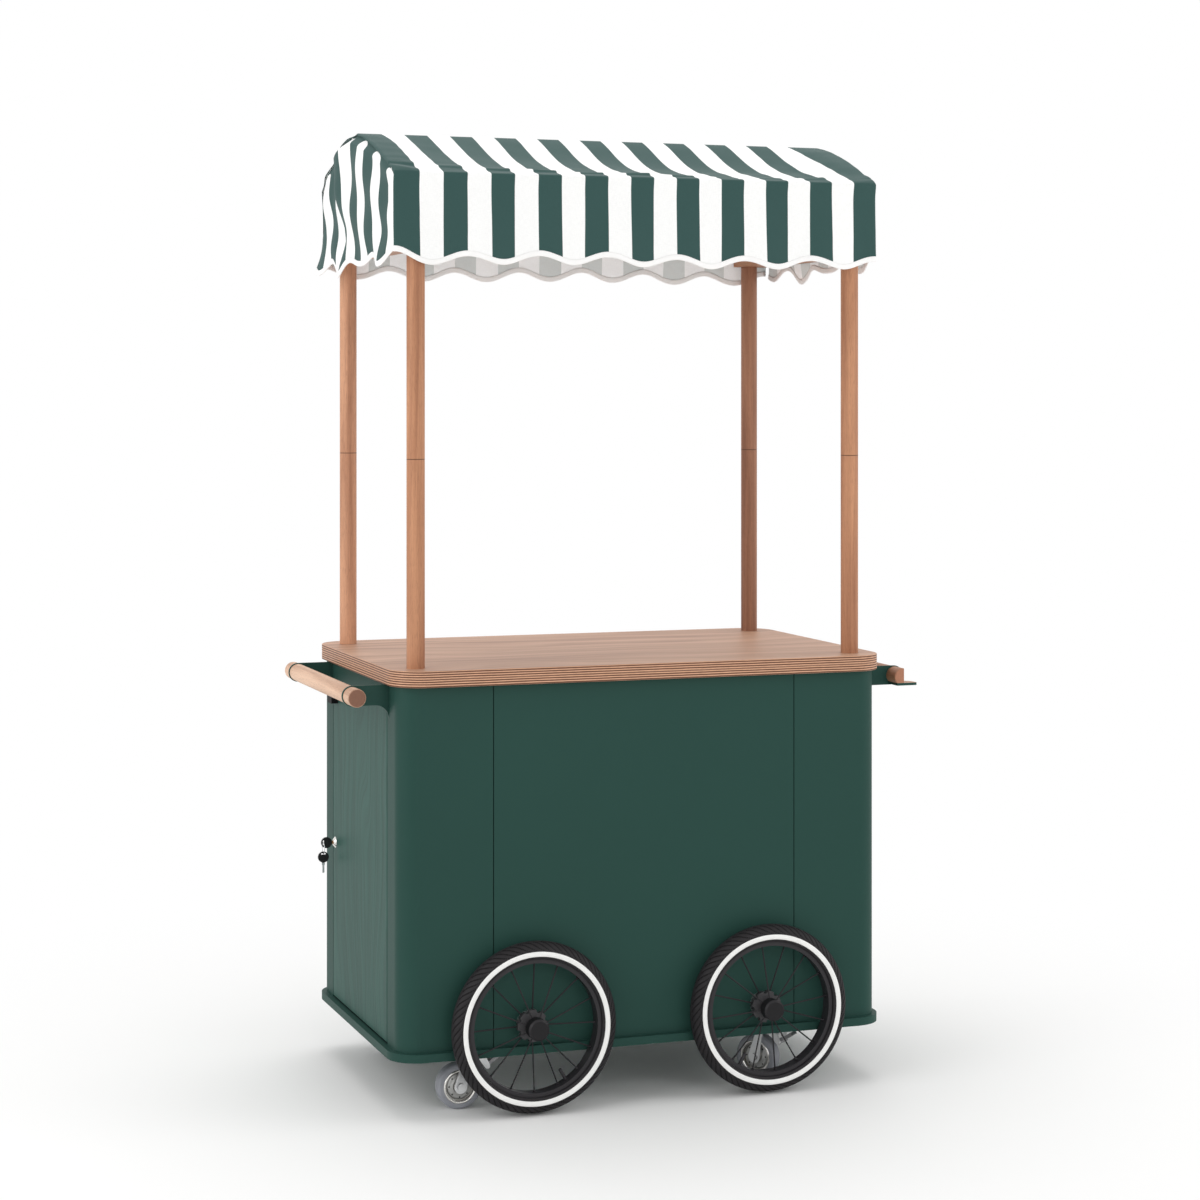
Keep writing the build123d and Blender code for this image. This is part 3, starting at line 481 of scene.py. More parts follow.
@dataclass(frozen=True)
class Canvas:
    """Woven canvas, striped or plain."""

    name: str
    white: Colour
    green: Colour | None = None
    through: float = 0.0
    relief: float = 0.22 * MM

    def make(self) -> Material:
        """Build the canvas.

        Returns:
            The material.
        """
        shader = Shader(self.name)
        u, v, _ = shader.parts(shader.cloth_place())
        threads = [self.threads(shader, u, v, *scale) for scale in ((38.0, 90.0), (5.0, 900.0))]
        weave = shader.math("MULTIPLY", shader.math("ADD", *threads), 0.5)
        colour = self.white if self.green is None else self.stripes(shader, u)
        shader.set(Base_Color=shader.shade(colour, weave, low=0.86, high=1.12), Roughness=0.85,
                   Specular_IOR_Level=0.2, Sheen_Weight=0.1, Sheen_Roughness=0.5,
                   Subsurface_Weight=self.through, Subsurface_Scale=0.004, Subsurface_Radius=WHITE)
        shader.bump(weave, self.relief)
        return shader.material

    @staticmethod
    def threads(shader: Shader, u: Socket, v: Socket, across: float, lengthwise: float) -> Socket:
        """Uneven threads, by their scale across the stripes and along them."""
        place = shader.vector(shader.math("MULTIPLY", u, across), shader.math("MULTIPLY", v, lengthwise), 0.0)
        return shader.noise(place, scale=1.0, detail=3.0)

    def stripes(self, shader: Shader, u: Socket) -> Socket:
        """Green and white stripes in turn, with a soft printed edge.

        Args:
            shader: Material that is being built.
            u: Number of stripes from the first one's edge.

        Returns:
            The colour.
        """
        pair = shader.math("FRACT", shader.math("MULTIPLY", u, 0.5))
        rim = shader.apart(pair, 0.5)
        near = shader.math("SUBTRACT", 0.25, shader.apart(rim, 0.25))
        plain = shader.mix(shader.math("GREATER_THAN", pair, 0.5), self.green, self.white)
        return shader.mix(shader.step(near, 0.0, 0.004), shader.mix(0.5, self.green, self.white), plain)


@dataclass(frozen=True)
class Rubber:
    """Moulded rubber, a little dusty."""

    name: str
    colour: Colour
    dust: Colour
    roughness: float = 0.62
    gloss: float = 0.3
    relief: float = 0.08 * MM

    def make(self) -> Material:
        """Build the rubber.

        Returns:
            The material.
        """
        shader = Shader(self.name)
        place = shader.place()
        cloud = shader.step(shader.noise(place, scale=46.0, detail=4.0, rough=0.6), 0.35, 0.8)
        colour = shader.mix(shader.math("MULTIPLY", cloud, 0.35), self.colour, self.dust)
        shader.set(Base_Color=colour, Roughness=self.roughness, Specular_IOR_Level=self.gloss)
        shader.bump(shader.noise(place, scale=900.0), self.relief)
        return shader.material


@dataclass(frozen=True)
class Metal:
    """Plated or polished metal with fine scratches."""

    name: str
    colour: Colour
    roughness: float = 0.3
    wear: float = 0.12
    relief: float = 0.02 * MM

    def make(self) -> Material:
        """Build the metal.

        Returns:
            The material.
        """
        shader = Shader(self.name)
        place = shader.place()
        cloud = shader.noise(place, scale=60.0, detail=4.0, rough=0.6)
        rough = shader.between(cloud, self.roughness - self.wear / 2, self.roughness + self.wear)
        colour = shader.shade(self.colour, cloud, low=1.0 - self.wear, high=1.0)
        shader.set(Base_Color=colour, Metallic=1.0, Roughness=rough)
        shader.bump(shader.grain(place, scale=(240.0, 1500.0, 240.0), detail=3.0), self.relief)
        return shader.material


@dataclass(frozen=True)
class Coating:
    """Moulded plastic or powder coat with a fine texture."""

    name: str
    colour: Colour
    roughness: float = 0.45
    gloss: float = 0.4
    relief: float = 0.08 * MM

    def make(self) -> Material:
        """Build the coating.

        Returns:
            The material.
        """
        shader = Shader(self.name)
        place = shader.place()
        cloud = shader.noise(place, scale=20.0)
        rough = shader.between(cloud, self.roughness - 0.06, self.roughness + 0.08)
        colour = shader.shade(self.colour, cloud, low=0.88, high=1.1)
        shader.set(Base_Color=colour, Roughness=rough, Specular_IOR_Level=self.gloss)
        shader.bump(shader.noise(place, scale=1300.0), self.relief)
        return shader.material


# Meshes


def add_object(name: str, data: bpy.types.ID) -> Piece:
    """Put a new object into the scene.

    Args:
        name: Name of the object.
        data: Its mesh, lamp or camera.

    Returns:
        The new object.
    """
    made = bpy.data.objects.new(name, data)
    bpy.context.scene.collection.objects.link(made)
    return made


def mesh_piece(name: str, points: Array, faces: Sequence[Sequence[int]], body: str) -> Piece:
    """Make a smooth-shaded piece that rides on a body.

    Args:
        name: Name of the piece.
        points: Corners in the cart's frame, in metres.
        faces: Corner numbers of each face.
        body: Body that carries the piece.

    Returns:
        The new object.
    """
    mesh = bpy.data.meshes.new(name)
    mesh.from_pydata([tuple(map(float, p)) for p in points], [], [tuple(map(int, f)) for f in faces])
    mesh.shade_smooth()
    piece = add_object(name, mesh)
    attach(piece, body)
    log.info("piece %s: %d corners on %s", name, len(points), body)
    return piece


def dress(piece: Piece, *materials: Material, slots: Sequence[int] | None = None) -> None:
    """Give a piece its materials in place of any that it has.

    Args:
        piece: Object to dress.
        materials: Materials in the order of their slots.
        slots: Slot number of each face, if the piece has more than one material.
    """
    piece.data.materials.clear()
    for material in materials:
        piece.data.materials.append(material)
    if slots is not None:
        piece.data.polygons.foreach_set("material_index", np.asarray(slots, dtype=np.int32))


def dress_faces(node: str, pick: Callable[[Face], int], *materials: Material) -> None:
    """Give a solid piece more than one material.

    Args:
        node: Name of the solid piece.
        pick: Function that gives a face's slot number.
        materials: Materials in the order of their slots.
    """
    piece = frame["nodes"][node]
    dress(piece, *materials, slots=[int(pick(face)) for face in piece.data.polygons])


def runs(grid: Array) -> Array:
    """Length along each column of a grid of points, from its first row."""
    steps = np.linalg.norm(np.diff(grid, axis=0), axis=2)
    return np.concatenate([np.zeros((1, grid.shape[1])), np.cumsum(steps, axis=0)])


def grid_area(grid: Array) -> float:
    """Area of a grid of points."""
    across, along = np.diff(grid, axis=1)[:-1], np.diff(grid, axis=0)[:, :-1]
    return float(np.linalg.norm(np.cross(across, along), axis=2).sum())


def grid_normals(grid: Array) -> Array:
    """Unit normals of a grid of points, out of the side where columns run to the right and rows up."""
    normal = np.cross(np.gradient(grid, axis=1), np.gradient(grid, axis=0))
    return normal / np.maximum(np.linalg.norm(normal, axis=2, keepdims=True), 1e-12)


def cloth_piece(name: str, grid: Array, places: Array, thickness: float, body: str, outside: Material,
                inside: Material) -> Piece:
    """Make a closed sheet of cloth from its middle surface.

    Args:
        name: Name of the piece.
        grid: Rows of columns of points on the middle surface, with the outside towards the grid's normals.
        places: Flat place of each point: stripes across and metres along.
        thickness: Thickness of the cloth.
        body: Body that carries the piece.
        outside: Finish of the outside and the edges.
        inside: Finish of the inside.

    Returns:
        The new object.
    """
    inner = grid.shape[0] * grid.shape[1]
    away = grid_normals(grid) * thickness / 2
    points = np.concatenate([(grid + away).reshape(-1, 3), (grid - away).reshape(-1, 3)])
    number = np.arange(inner).reshape(grid.shape[:2])
    corners = [number[:-1, :-1], number[:-1, 1:], number[1:, 1:], number[1:, :-1]]
    quads = np.stack(corners, axis=2).reshape(-1, 4)
    border = np.concatenate([number[0, :], number[1:, -1], number[-1, -2::-1], number[-2:0:-1, 0]])
    following = np.roll(border, -1)
    rim = np.stack([following, border, border + inner, following + inner], axis=1)
    faces = np.concatenate([quads, quads[:, ::-1] + inner, rim])
    piece = mesh_piece(name, points, faces, body)
    loops = np.zeros(len(piece.data.loops), dtype=np.int32)
    piece.data.loops.foreach_get("vertex_index", loops)
    flat = np.concatenate([places.reshape(-1, 2)] * 2)
    layer = piece.data.uv_layers.new(name="cloth")
    layer.data.foreach_set("uv", flat[loops].astype(np.float32).ravel())
    slots = np.zeros(len(faces), dtype=np.int32)
    slots[len(quads):2 * len(quads)] = 1
    dress(piece, outside, inside, slots=slots)
    return piece


def swept_ring(name: str, sections: Array, body: str) -> Piece:
    """Make a closed ring from sections that follow each other around it.

    Args:
        name: Name of the piece.
        sections: Closed section of points at each step around the ring.
        body: Body that carries the piece.

    Returns:
        The new object, with its faces in the order of the steps and then of the section's points.
    """
    steps, count = sections.shape[:2]
    number = np.arange(steps * count).reshape(steps, count)
    ahead = np.roll(number, -1, axis=0)
    corners = [number, np.roll(number, -1, axis=1), np.roll(ahead, -1, axis=1), ahead]
    return mesh_piece(name, sections.reshape(-1, 3), np.stack(corners, axis=2).reshape(-1, 4), body)


@dataclass(frozen=True)
class Axle:
    """Line that a wheel turns about, with two directions square to it."""

    centre: Array
    axis: Array

    @property
    def square(self) -> tuple[Array, Array]:
        """Level direction and steep direction, square to the axle.

        Returns:
            The two unit directions.
        """
        upright = abs(self.axis[2]) > 0.9
        level = np.cross(self.axis, (0.0, 1.0, 0.0) if upright else (0.0, 0.0, 1.0))
        level /= np.linalg.norm(level)
        return level, np.cross(level, self.axis)

    def around(self, radius: Array | float, along: Array | float, angle: Array) -> Array:
        """Points about the axle.

        Args:
            radius: Distances from the axle.
            along: Distances along it from its centre.
            angle: Angles about it.

        Returns:
            Array of points, of the shape that the three have together.
        """
        radius, along, angle = (part[..., None] for part in np.broadcast_arrays(radius, along, angle))
        level, steep = self.square
        return self.centre + radius * (np.cos(angle) * level + np.sin(angle) * steep) + along * self.axis


def pegs(name: str, places: Sequence[tuple[Array, Array]], rings: Sequence[tuple[float, float]], body: str,
         sides: int = 10) -> Piece:
    """Make a group of small turned pegs.

    Args:
        name: Name of the piece.
        places: Foot and direction of each peg.
        rings: Distance along the peg and radius at each step of its shape.
        body: Body that carries the piece.
        sides: Sides of a peg.

    Returns:
        The new object.
    """
    points, faces = [], []
    for foot, direction in places:
        axle = Axle(np.asarray(foot, float), np.asarray(direction, float) / np.linalg.norm(direction))
        number = len(points) + np.arange(len(rings) * sides).reshape(len(rings), sides)
        turned = np.roll(number, -1, axis=1)
        for along, radius in rings:
            points.extend(axle.around(radius, along, circle(sides)))
        faces.extend(np.stack([number[:-1], turned[:-1], turned[1:], number[1:]], axis=2).reshape(-1, 4))
        faces += [number[0][::-1], number[-1]]
    return mesh_piece(name, np.array(points), faces, body)


def ripple(points: Array, scale: float, seed: float) -> Array:
    """Smooth noise between about -1 and 1 at each point.

    Args:
        points: Array of points whose last axis is x, y, z.
        scale: Number of ripples in a metre.
        seed: Offset that makes one ripple differ from another.

    Returns:
        Array of the noise, without the last axis.
    """
    places = points.reshape(-1, 3) * scale + np.array([seed, 0.0, 0.0])
    return np.array([noise.noise(Vector(place)) for place in places]).reshape(points.shape[:-1])


# Sub-assemblies


@dataclass(frozen=True)
class FlapForm:
    """Way that one end flap hangs, with places counted in its stripes from the front."""

    swell: float
    crease: float
    tail: float
    flare: float
    seed: float
    front_tail: float = 8 * MM
    behind: float = 4 * MM
    broad_wave: float = 2.2 * MM
    fine_wave: float = 1.5 * MM
    held: float = 2 * MM
    free: float = 22 * MM

    def reach(self, count: Array, share: Array, below: Array) -> Array:
        """Distance that a flap stands out from its gable board.

        Args:
            count: Stripes from the front.
            share: Share of the flap's height above each row, from its top.
            below: Distance below the top.

        Returns:
            Distances for rows of columns.
        """
        crease = self.crease - 1.1 * smooth(0.15, 0.7, share) + 0.9 * smooth(0.7, 1.0, share)
        swell = smooth(0.1, 5.0, count) * (1 - smooth(crease - 0.8, crease + 0.5, count))
        swell = self.swell * swell * (1 - 0.6 * smooth(0.5, 1.0, share))
        behind = self.behind * smooth(crease - 0.2, crease + 1.1, count) * (1 - smooth(11.4, 12.0, count))
        tails = self.tail * hump(8.4, 2.0, count) + self.front_tail * hump(1.7, 1.0, count)
        flare = self.flare * smooth(9.8, 12.0, count) * smooth(0.6, 1.0, share)
        waves = self.broad_wave * np.sin(TURN * count / 6.1 + 13 * share + self.seed)
        waves = waves + self.fine_wave * np.sin(TURN * count / 2.9 - 9 * share + 2 * self.seed)
        loose = smooth(0.0, 0.8, count) * smooth(self.held, self.free, below)
        return loose * np.maximum(swell + behind + tails * smooth(0.66, 1.0, share) + flare + waves, 0.0)


@dataclass
class Canopy:
    """Striped canvas over the roof frame, with scalloped valances and loose end flaps."""

    outside: Material
    inside: Material
    tape: Material
    body: str = "cart"

    # Cover, from the eaves to the ridge and out to both ends
    stripes: int = 21
    rise: float = 111 * MM
    crown: float = 13 * MM
    sag: float = 16 * MM
    cloth: float = 1.4 * MM
    clear: float = 1.6 * MM
    puff: float = 2.6 * MM
    end_puff: float = 2.0 * MM
    puff_run: float = 18 * MM
    lip: float = 3.6 * MM
    lip_out: float = 2.6 * MM
    rear_overhang: float = 11 * MM
    overhang_drop: float = 90 * MM
    ridge_drift: float = 0.45
    stripe_margin: float = 0.03

    # Valances, with a free swing at the edge and a little play above it
    waves: int = 7
    scallop: float = 19 * MM
    rear_scallop: float = 1.2
    uneven: float = 2.2 * MM
    corner_lift: float = 9 * MM
    corner_run: float = 34 * MM
    rear_drop: float = 10 * MM
    swing: float = 5 * MM
    loose: float = 1.6 * MM
    press: float = 0.4 * MM

    # Flat fold along an eave, by distances up the slope, and the creases about the eave
    tuck: float = 3.6 * MM
    tuck_foot: float = 38 * MM
    tuck_crest: float = 46 * MM
    tuck_end: float = 84 * MM
    tuck_shift: float = 16 * MM
    crease: float = 4.2 * MM
    crease_low: float = 4 * MM
    crease_run: float = 26 * MM
    dent: float = 1.2 * MM

    # Tapes and end flaps
    tape_width: float = 11 * MM
    tape_thickness: float = 3.6 * MM
    tape_rows: int = 12
    flap_stripes: int = 12
    flap_gap: float = 1.2 * MM
    flap_past: float = 0.4 * MM
    flap_below: float = 0.6 * MM
    flap_lift: float = 10 * MM
    flap_scallop: float = 13 * MM
    flap_deep: float = 13 * MM
    flap_shallow: float = 8 * MM
    flap_corner: float = 7 * MM
    tongue_top: float = 14 * MM

    # Steps of the meshes
    columns: int = 232
    valance_rows: int = 26
    eave_rows: int = 7
    fine_part: float = 0.28
    fine_rows: int = 37
    roof_rows: int = 32
    flap_columns: int = 190

    def __post_init__(self) -> None:
        """Take the frame's sizes from the solids."""
        left_low, left_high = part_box("left_gable_board")
        _, right_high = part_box("right_gable_board")
        self.middle = np.array([(left_low.x + right_high.x) / 2, (left_low.y + left_high.y) / 2, 0.0])
        self.board = (right_high.x - left_low.x) / 2
        self.half = self.board + self.clear
        self.depth = (left_high.y - left_low.y) / 2
        self.eave = right_high.z - self.rise
        self.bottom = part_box("canopy_cover")[0].z
        self.pitch = math.atan2(self.rise, self.depth)
        self.slope = math.hypot(self.depth, self.rise)
        self.stripe = 2 * self.half / self.stripes
        self.wave = 2 * self.half / self.waves

    def build(self) -> None:
        """Make the cover, its two tapes and both end flaps."""
        grid, places = self.cover_grid()
        cover = cloth_piece("canopy_cloth", grid, places, self.cloth, self.body, self.outside, self.inside)
        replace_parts(cover, "canopy_cover")
        tapes = [self.edge_tape("front_valance_tape", grid),
                 self.edge_tape("rear_valance_tape", grid[::-1, ::-1])]
        float(runs(grid)[-1].mean())
        self.flap(Side.LEFT, FlapForm(swell=17 * MM, crease=8.7, tail=11 * MM, flare=22 * MM, seed=0.0))
        self.flap(Side.RIGHT, FlapForm(swell=14 * MM, crease=6.6, tail=9 * MM, flare=12 * MM, seed=4.0))

    def cover_grid(self) -> tuple[Array, Array]:
        """Middle surface of the roof and valances, from the front lower edge over the ridge to the rear one.

        Returns:
            The grid of points, and their flat places.
        """
        x = np.linspace(-self.half, self.half, self.columns)
        halves, heights = zip(*(self.half_cover(x, sign) for sign in (-1, 1)))
        grid = np.concatenate([halves[0], halves[1][::-1]])
        up_slope = np.concatenate([heights[0], heights[1][::-1]])[:, None]
        drift = self.ridge_drift * up_slope * smooth(-0.75, 0.75, grid[..., 0] / self.half)
        across = (grid[..., 0] + self.half) / self.stripe + drift
        across = np.clip(across, self.stripe_margin, self.stripes - self.stripe_margin)
        run = runs(grid)
        return grid + self.middle, np.stack([across, run - run[len(halves[0])]], axis=2)

    def half_cover(self, x: Array, sign: int) -> tuple[Array, Array]:
        """One half of the cover about the middle of the cart, from its lower edge to the ridge.

        Args:
            x: Places along the cart.
            sign: -1 for the front half, 1 for the rear half.

        Returns:
            The grid of points with both ends turned down, and the share of the slope below each row.
        """
        rows = [*self.valance(x, sign), *self.eave_corner(x), *self.roof(x)]
        grid = np.stack([np.stack([x, sign * y, z], axis=1) for y, z, _, _ in rows])
        grid += self.wrinkles(grid, sign)
        angles = np.array([angle for _, _, angle, _ in rows])
        left = [self.lip_column(grid[:, 0], angles, sign, Side.LEFT, share) for share in (1.0, 0.6, 0.2)]
        right = [self.lip_column(grid[:, -1], angles, sign, Side.RIGHT, share) for share in (0.2, 0.6, 1.0)]
        whole = np.concatenate([np.stack(left, axis=1), grid, np.stack(right, axis=1)], axis=1)
        return whole, np.array([slope for _, _, _, slope in rows])

    def away(self, x: Array, distance: Array | float) -> Array:
        """Distance of the cloth from the frame, fuller near the corner of an eave and at both ends."""
        full = self.puff + self.end_puff * smooth(0.8, 1.0, np.abs(x) / self.half)
        return self.clear + full * hump(0.0, self.puff_run, distance)

    def edge_height(self, along: Array, sign: int) -> Array:
        """Height of a valance's scalloped edge.

        Args:
            along: Distances from the left end.
            sign: -1 for the front valance, 1 for the rear one.

        Returns:
            Heights above the floor, highest at both ends.
        """
        front = sign < 0
        deep = self.scallop * (1.0 if front else self.rear_scallop)
        low = self.bottom + self.rear_drop * front
        uneven = self.uneven * np.sin(along * 9.1 + 2 * sign)
        corner = self.corner_lift * hump(0.0, self.corner_run, along) * front
        return low + deep / 2 * (1 + np.cos(TURN * along / self.wave)) + uneven + corner

    def valance(self, x: Array, sign: int) -> Iterator[Row]:
        """Rows of a hanging valance.

        Args:
            x: Places along the cart.
            sign: -1 for the front half, 1 for the rear half.

        Yields:
            Distance out from the middle, height, angle of the outside and share of the slope below.
        """
        along = x + self.half
        low = self.edge_height(along, sign)
        curl = np.sin(TURN * along / self.wave + 0.35 * np.sin(5.3 * along + sign))
        for t in np.linspace(0, 1, self.valance_rows)[:-1]:
            z = low + (self.eave - low) * t
            swing = self.swing * (1 - t) ** 1.25 * (1 + curl)
            loose = self.loose * (1 - t) * t * 4 * np.sin(along * 21 + 3 * sign + 2 * t)
            out = self.away(x, self.eave - z) + swing + np.maximum(loose, -self.press)
            yield self.depth + out, z, 0.0, 0.0

    def eave_corner(self, x: Array) -> Iterator[Row]:
        """Rows round the corner of an eave.

        Args:
            x: Places along the cart.

        Yields:
            What valance yields.
        """
        radius = self.away(x, 0.0)
        for angle in np.linspace(0, math.pi / 2 - self.pitch, self.eave_rows)[:-1]:
            yield self.depth + radius * math.cos(angle), self.eave + radius * math.sin(angle), angle, 0.0

    def roof(self, x: Array) -> Iterator[Row]:
        """Rows of a slope, full over the gable boards and sagging between them.

        Args:
            x: Places along the cart.

        Yields:
            What valance yields.
        """
        ends = smooth(0.76, 0.955, np.abs(x) / self.half)
        uneven = 1 + 0.12 * np.sin(9 * x)
        loose = (1 - ends) * (1 - smooth(0.1, 0.95, -x / self.half))
        fine = np.linspace(0, self.fine_part, self.fine_rows)[:-1]
        for t in np.concatenate([fine, np.linspace(self.fine_part, 1, self.roof_rows)]):
            away = self.away(x, t * self.slope)
            bulge = self.crown * ends * 4 * t * (1 - t) - self.sag * uneven * loose * 16 * (t * (1 - t)) ** 2
            bulge += self.tuck_height(x, t * self.slope)
            y = self.depth * (1 - t) + away * math.sin(self.pitch)
            z = self.eave + self.rise * t + away * math.cos(self.pitch) + bulge
            yield y, z, math.pi / 2 - self.pitch, t

    def tuck_height(self, x: Array, run: float) -> Array:
        """Height of a flat fold that runs along an eave, with a short steep side towards it.

        Args:
            x: Places along the cart.
            run: Distance up the slope from the eave.

        Returns:
            Heights above the plain slope.
        """
        share = x / self.half
        wander = 3 * MM * np.sin(14 * x + 0.6) + 2 * MM * np.sin(37 * x)
        place = run + self.tuck_shift * smooth(-0.75, -0.1, share) + wander
        fold = smooth(self.tuck_foot, self.tuck_crest, place)
        fold = fold * (1 - smooth(self.tuck_crest, self.tuck_end, place))
        return self.tuck * fold * (1 - 0.75 * smooth(0.1, 0.4, share)) * (1 + 0.2 * np.sin(23 * x + 1.1))

    def overhang(self, end: Side, y: Array) -> Array:
        """Distance that the cover's end stands past its gable board: uneven, and only at the left end's rear.

        Args:
            end: End of the cart.
            y: Places across the cart.

        Returns:
            Distances.
        """
        if end is Side.RIGHT:
            return 0 * y
        back = y / self.depth
        uneven = 1 + 0.35 * np.cos(TURN * (back - 0.28) / 0.62)
        return self.rear_overhang * uneven * smooth(0.0, 0.16, back) * (1 - 0.85 * smooth(0.72, 1.0, back))

    def lip_column(self, column: Array, angles: Array, sign: int, end: Side, share: float) -> Array:
        """Points of the cover's end where it turns down over a flap.

        Args:
            column: Last column of the cover.
            angles: Angle of the outside at each row.
            sign: -1 for the front half, 1 for the rear half.
            end: End of the cart.
            share: Share of the lip's width.

        Returns:
            A column of points.
        """
        out = np.maximum(sign * column[:, 1] - self.lip * share * np.cos(angles), 0.2 * MM)
        hanging = 1 - smooth(0.0, self.overhang_drop, self.eave - column[:, 2])
        past = self.lip_out + self.overhang(end, np.clip(column[:, 1], None, self.depth)) * hanging
        x = column[:, 0] + end.value * past * min(1.0, 2.2 * share)
        return np.stack([x, sign * out, column[:, 2] - self.lip * share * np.sin(angles)], axis=1)

    def wrinkles(self, grid: Array, sign: int) -> Array:
        """Small creases, strongest along the eaves near both ends.

        Args:
            grid: Points of one half of the cover.
            sign: -1 for the front half, 1 for the rear half.

        Returns:
            Move of each point.
        """
        ends = smooth(0.55, 1.0, np.abs(grid[..., 0]) / self.half)
        height = grid[..., 2] - self.eave
        eaves = hump(self.crease_low, self.crease_run, height)
        roof = smooth(2 * MM, 16 * MM, height)
        fine = ripple(grid * np.array([0.6, 1.0, 1.0]), 24, 3.0 * sign)
        sharp = 0.5 - 2.2 * np.abs(ripple(grid * np.array([0.5, 1.0, 1.0]), 17, 6.0 * sign))
        broad = self.dent * ripple(grid, 7, 11.0 + sign) * (1 - ends)
        size = (0.5 + 1.6 * ends + 2.4 * ends * eaves + 2.2 * eaves) * MM
        folds = size * fine + self.crease * ends * eaves * sharp
        move = np.zeros_like(grid)
        move[..., 2] = roof * np.maximum(folds + 0.3 * size + broad, -self.dent)
        move[..., 1] = sign * (1 - roof) * np.maximum(folds, -0.5 * MM)
        return move * smooth(0.0, 0.05, np.abs(grid[..., 1]))[..., None]

    def edge_tape(self, name: str, grid: Array) -> Piece:
        """Fold a tape over the edge of a sheet.

        Args:
            name: Name of the piece.
            grid: Middle surface of the sheet, with its edge in the first row.

        Returns:
            The new object.
        """
        strip = grid[:self.tape_rows]
        run = runs(strip)
        band = np.stack([self.at_run(strip, run, level) for level in np.linspace(0, self.tape_width, 4)])
        half = self.tape_thickness / 2
        out = grid_normals(band) * half
        below = half * (band[0] - band[1]) / np.linalg.norm(band[0] - band[1], axis=1, keepdims=True)
        turn = [band[0] + (out[0] + below) * 0.7, band[0] + below, band[0] + (below - out[0]) * 0.7]
        sections = np.stack([*(band + out)[::-1], *turn, *(band - out)], axis=1)
        number = np.arange(sections.shape[0] * sections.shape[1]).reshape(sections.shape[:2])
        turned = np.roll(number, -1, axis=1)
        quads = np.stack([number[:-1], number[1:], turned[1:], turned[:-1]], axis=2).reshape(-1, 4)
        piece = mesh_piece(name, sections.reshape(-1, 3), [*quads, number[0], number[-1][::-1]], self.body)
        dress(piece, self.tape)
        return piece

    @staticmethod
    def at_run(strip: Array, run: Array, level: float) -> Array:
        """Points of a strip at a distance from its edge, one in each column."""
        columns = zip(run.T, np.swapaxes(strip, 0, 1))
        return np.array([[np.interp(level, along, part) for part in column.T] for along, column in columns])

    def flap(self, side: Side, form: FlapForm) -> None:
        """Make the loose cloth at one end of the canopy, with its tape.

        Args:
            side: End of the cart.
            form: Way that it hangs.
        """
        word = side.name.lower()
        grid, places = self.flap_grid(side, form)
        piece = cloth_piece(f"{word}_flap_cloth", grid, places, self.cloth, self.body, self.outside,
                            self.inside)
        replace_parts(piece, f"{word}_end_flap")
        hem = self.edge_tape(f"{word}_flap_tape", grid)
        width = float(runs(np.swapaxes(grid, 0, 1))[-1].max())
        float(runs(grid)[-1].max())
        grid_area(grid)

    def flap_grid(self, side: Side, form: FlapForm) -> tuple[Array, Array]:
        """Middle surface of one end flap.

        Args:
            side: End of the cart.
            form: Way that it hangs.

        Returns:
            The grid of points from the lower edge up, and their flat places.
        """
        count = np.linspace(0, self.flap_stripes, self.flap_columns)
        count = count if side is Side.RIGHT else count[::-1]
        edge = self.depth + self.flap_past
        y = edge * (2 * count / self.flap_stripes - 1)
        slope = 1 - np.abs(y) / edge
        top = self.eave + self.rise * slope + self.crown * 4 * slope * (1 - slope) - self.flap_below
        share = np.concatenate([np.linspace(1, 0.14, 46), np.linspace(0.14, 0, 18)[1:]])[:, None]
        z = top - (top - self.flap_edge(count)) * share
        reach = form.reach(count, share, top - z)
        reach = reach + self.overhang(side, y) * (1 - smooth(0.25, 0.8, share))
        x = side.value * (self.board + self.flap_gap + reach)
        grid = np.stack([x, np.broadcast_to(y, x.shape), z], axis=2) + self.middle
        return grid, np.stack([self.round_tops(count, top - z), runs(grid)], axis=2)

    def round_tops(self, count: Array, below: Array) -> Array:
        """Flat places across a flap, with each white stripe drawn in to a round top where it is gathered.

        Args:
            count: Stripes from the front.
            below: Distance below the flap's top.

        Returns:
            Places in stripes, for rows of columns.
        """
        middle = 2 * np.floor(count / 2) + 0.5
        middle = middle + 2 * (count - middle > 1)
        rise = np.clip((below - self.lip) / self.tongue_top, 0.0, 1.0)
        width = np.maximum(np.sqrt(1 - (1 - rise) ** 2), 0.05)
        return middle + 1.0 + np.clip((count - middle) / width, -1.0, 1.0)

    def flap_edge(self, count: Array) -> Array:
        """Height of a flap's lower edge: four scallops, a shallow second one and a deep third one.

        Args:
            count: Stripes from the front.

        Returns:
            Heights above the floor.
        """
        base = self.bottom + self.rear_drop + self.flap_lift - self.flap_deep * hump(7.9, 1.3, count)
        deep = self.flap_scallop - self.flap_shallow * hump(5.0, 1.4, count)
        return base - deep * np.cos(TURN * (count - 1.8) / 3.2) + self.flap_corner * hump(0.0, 0.6, count)


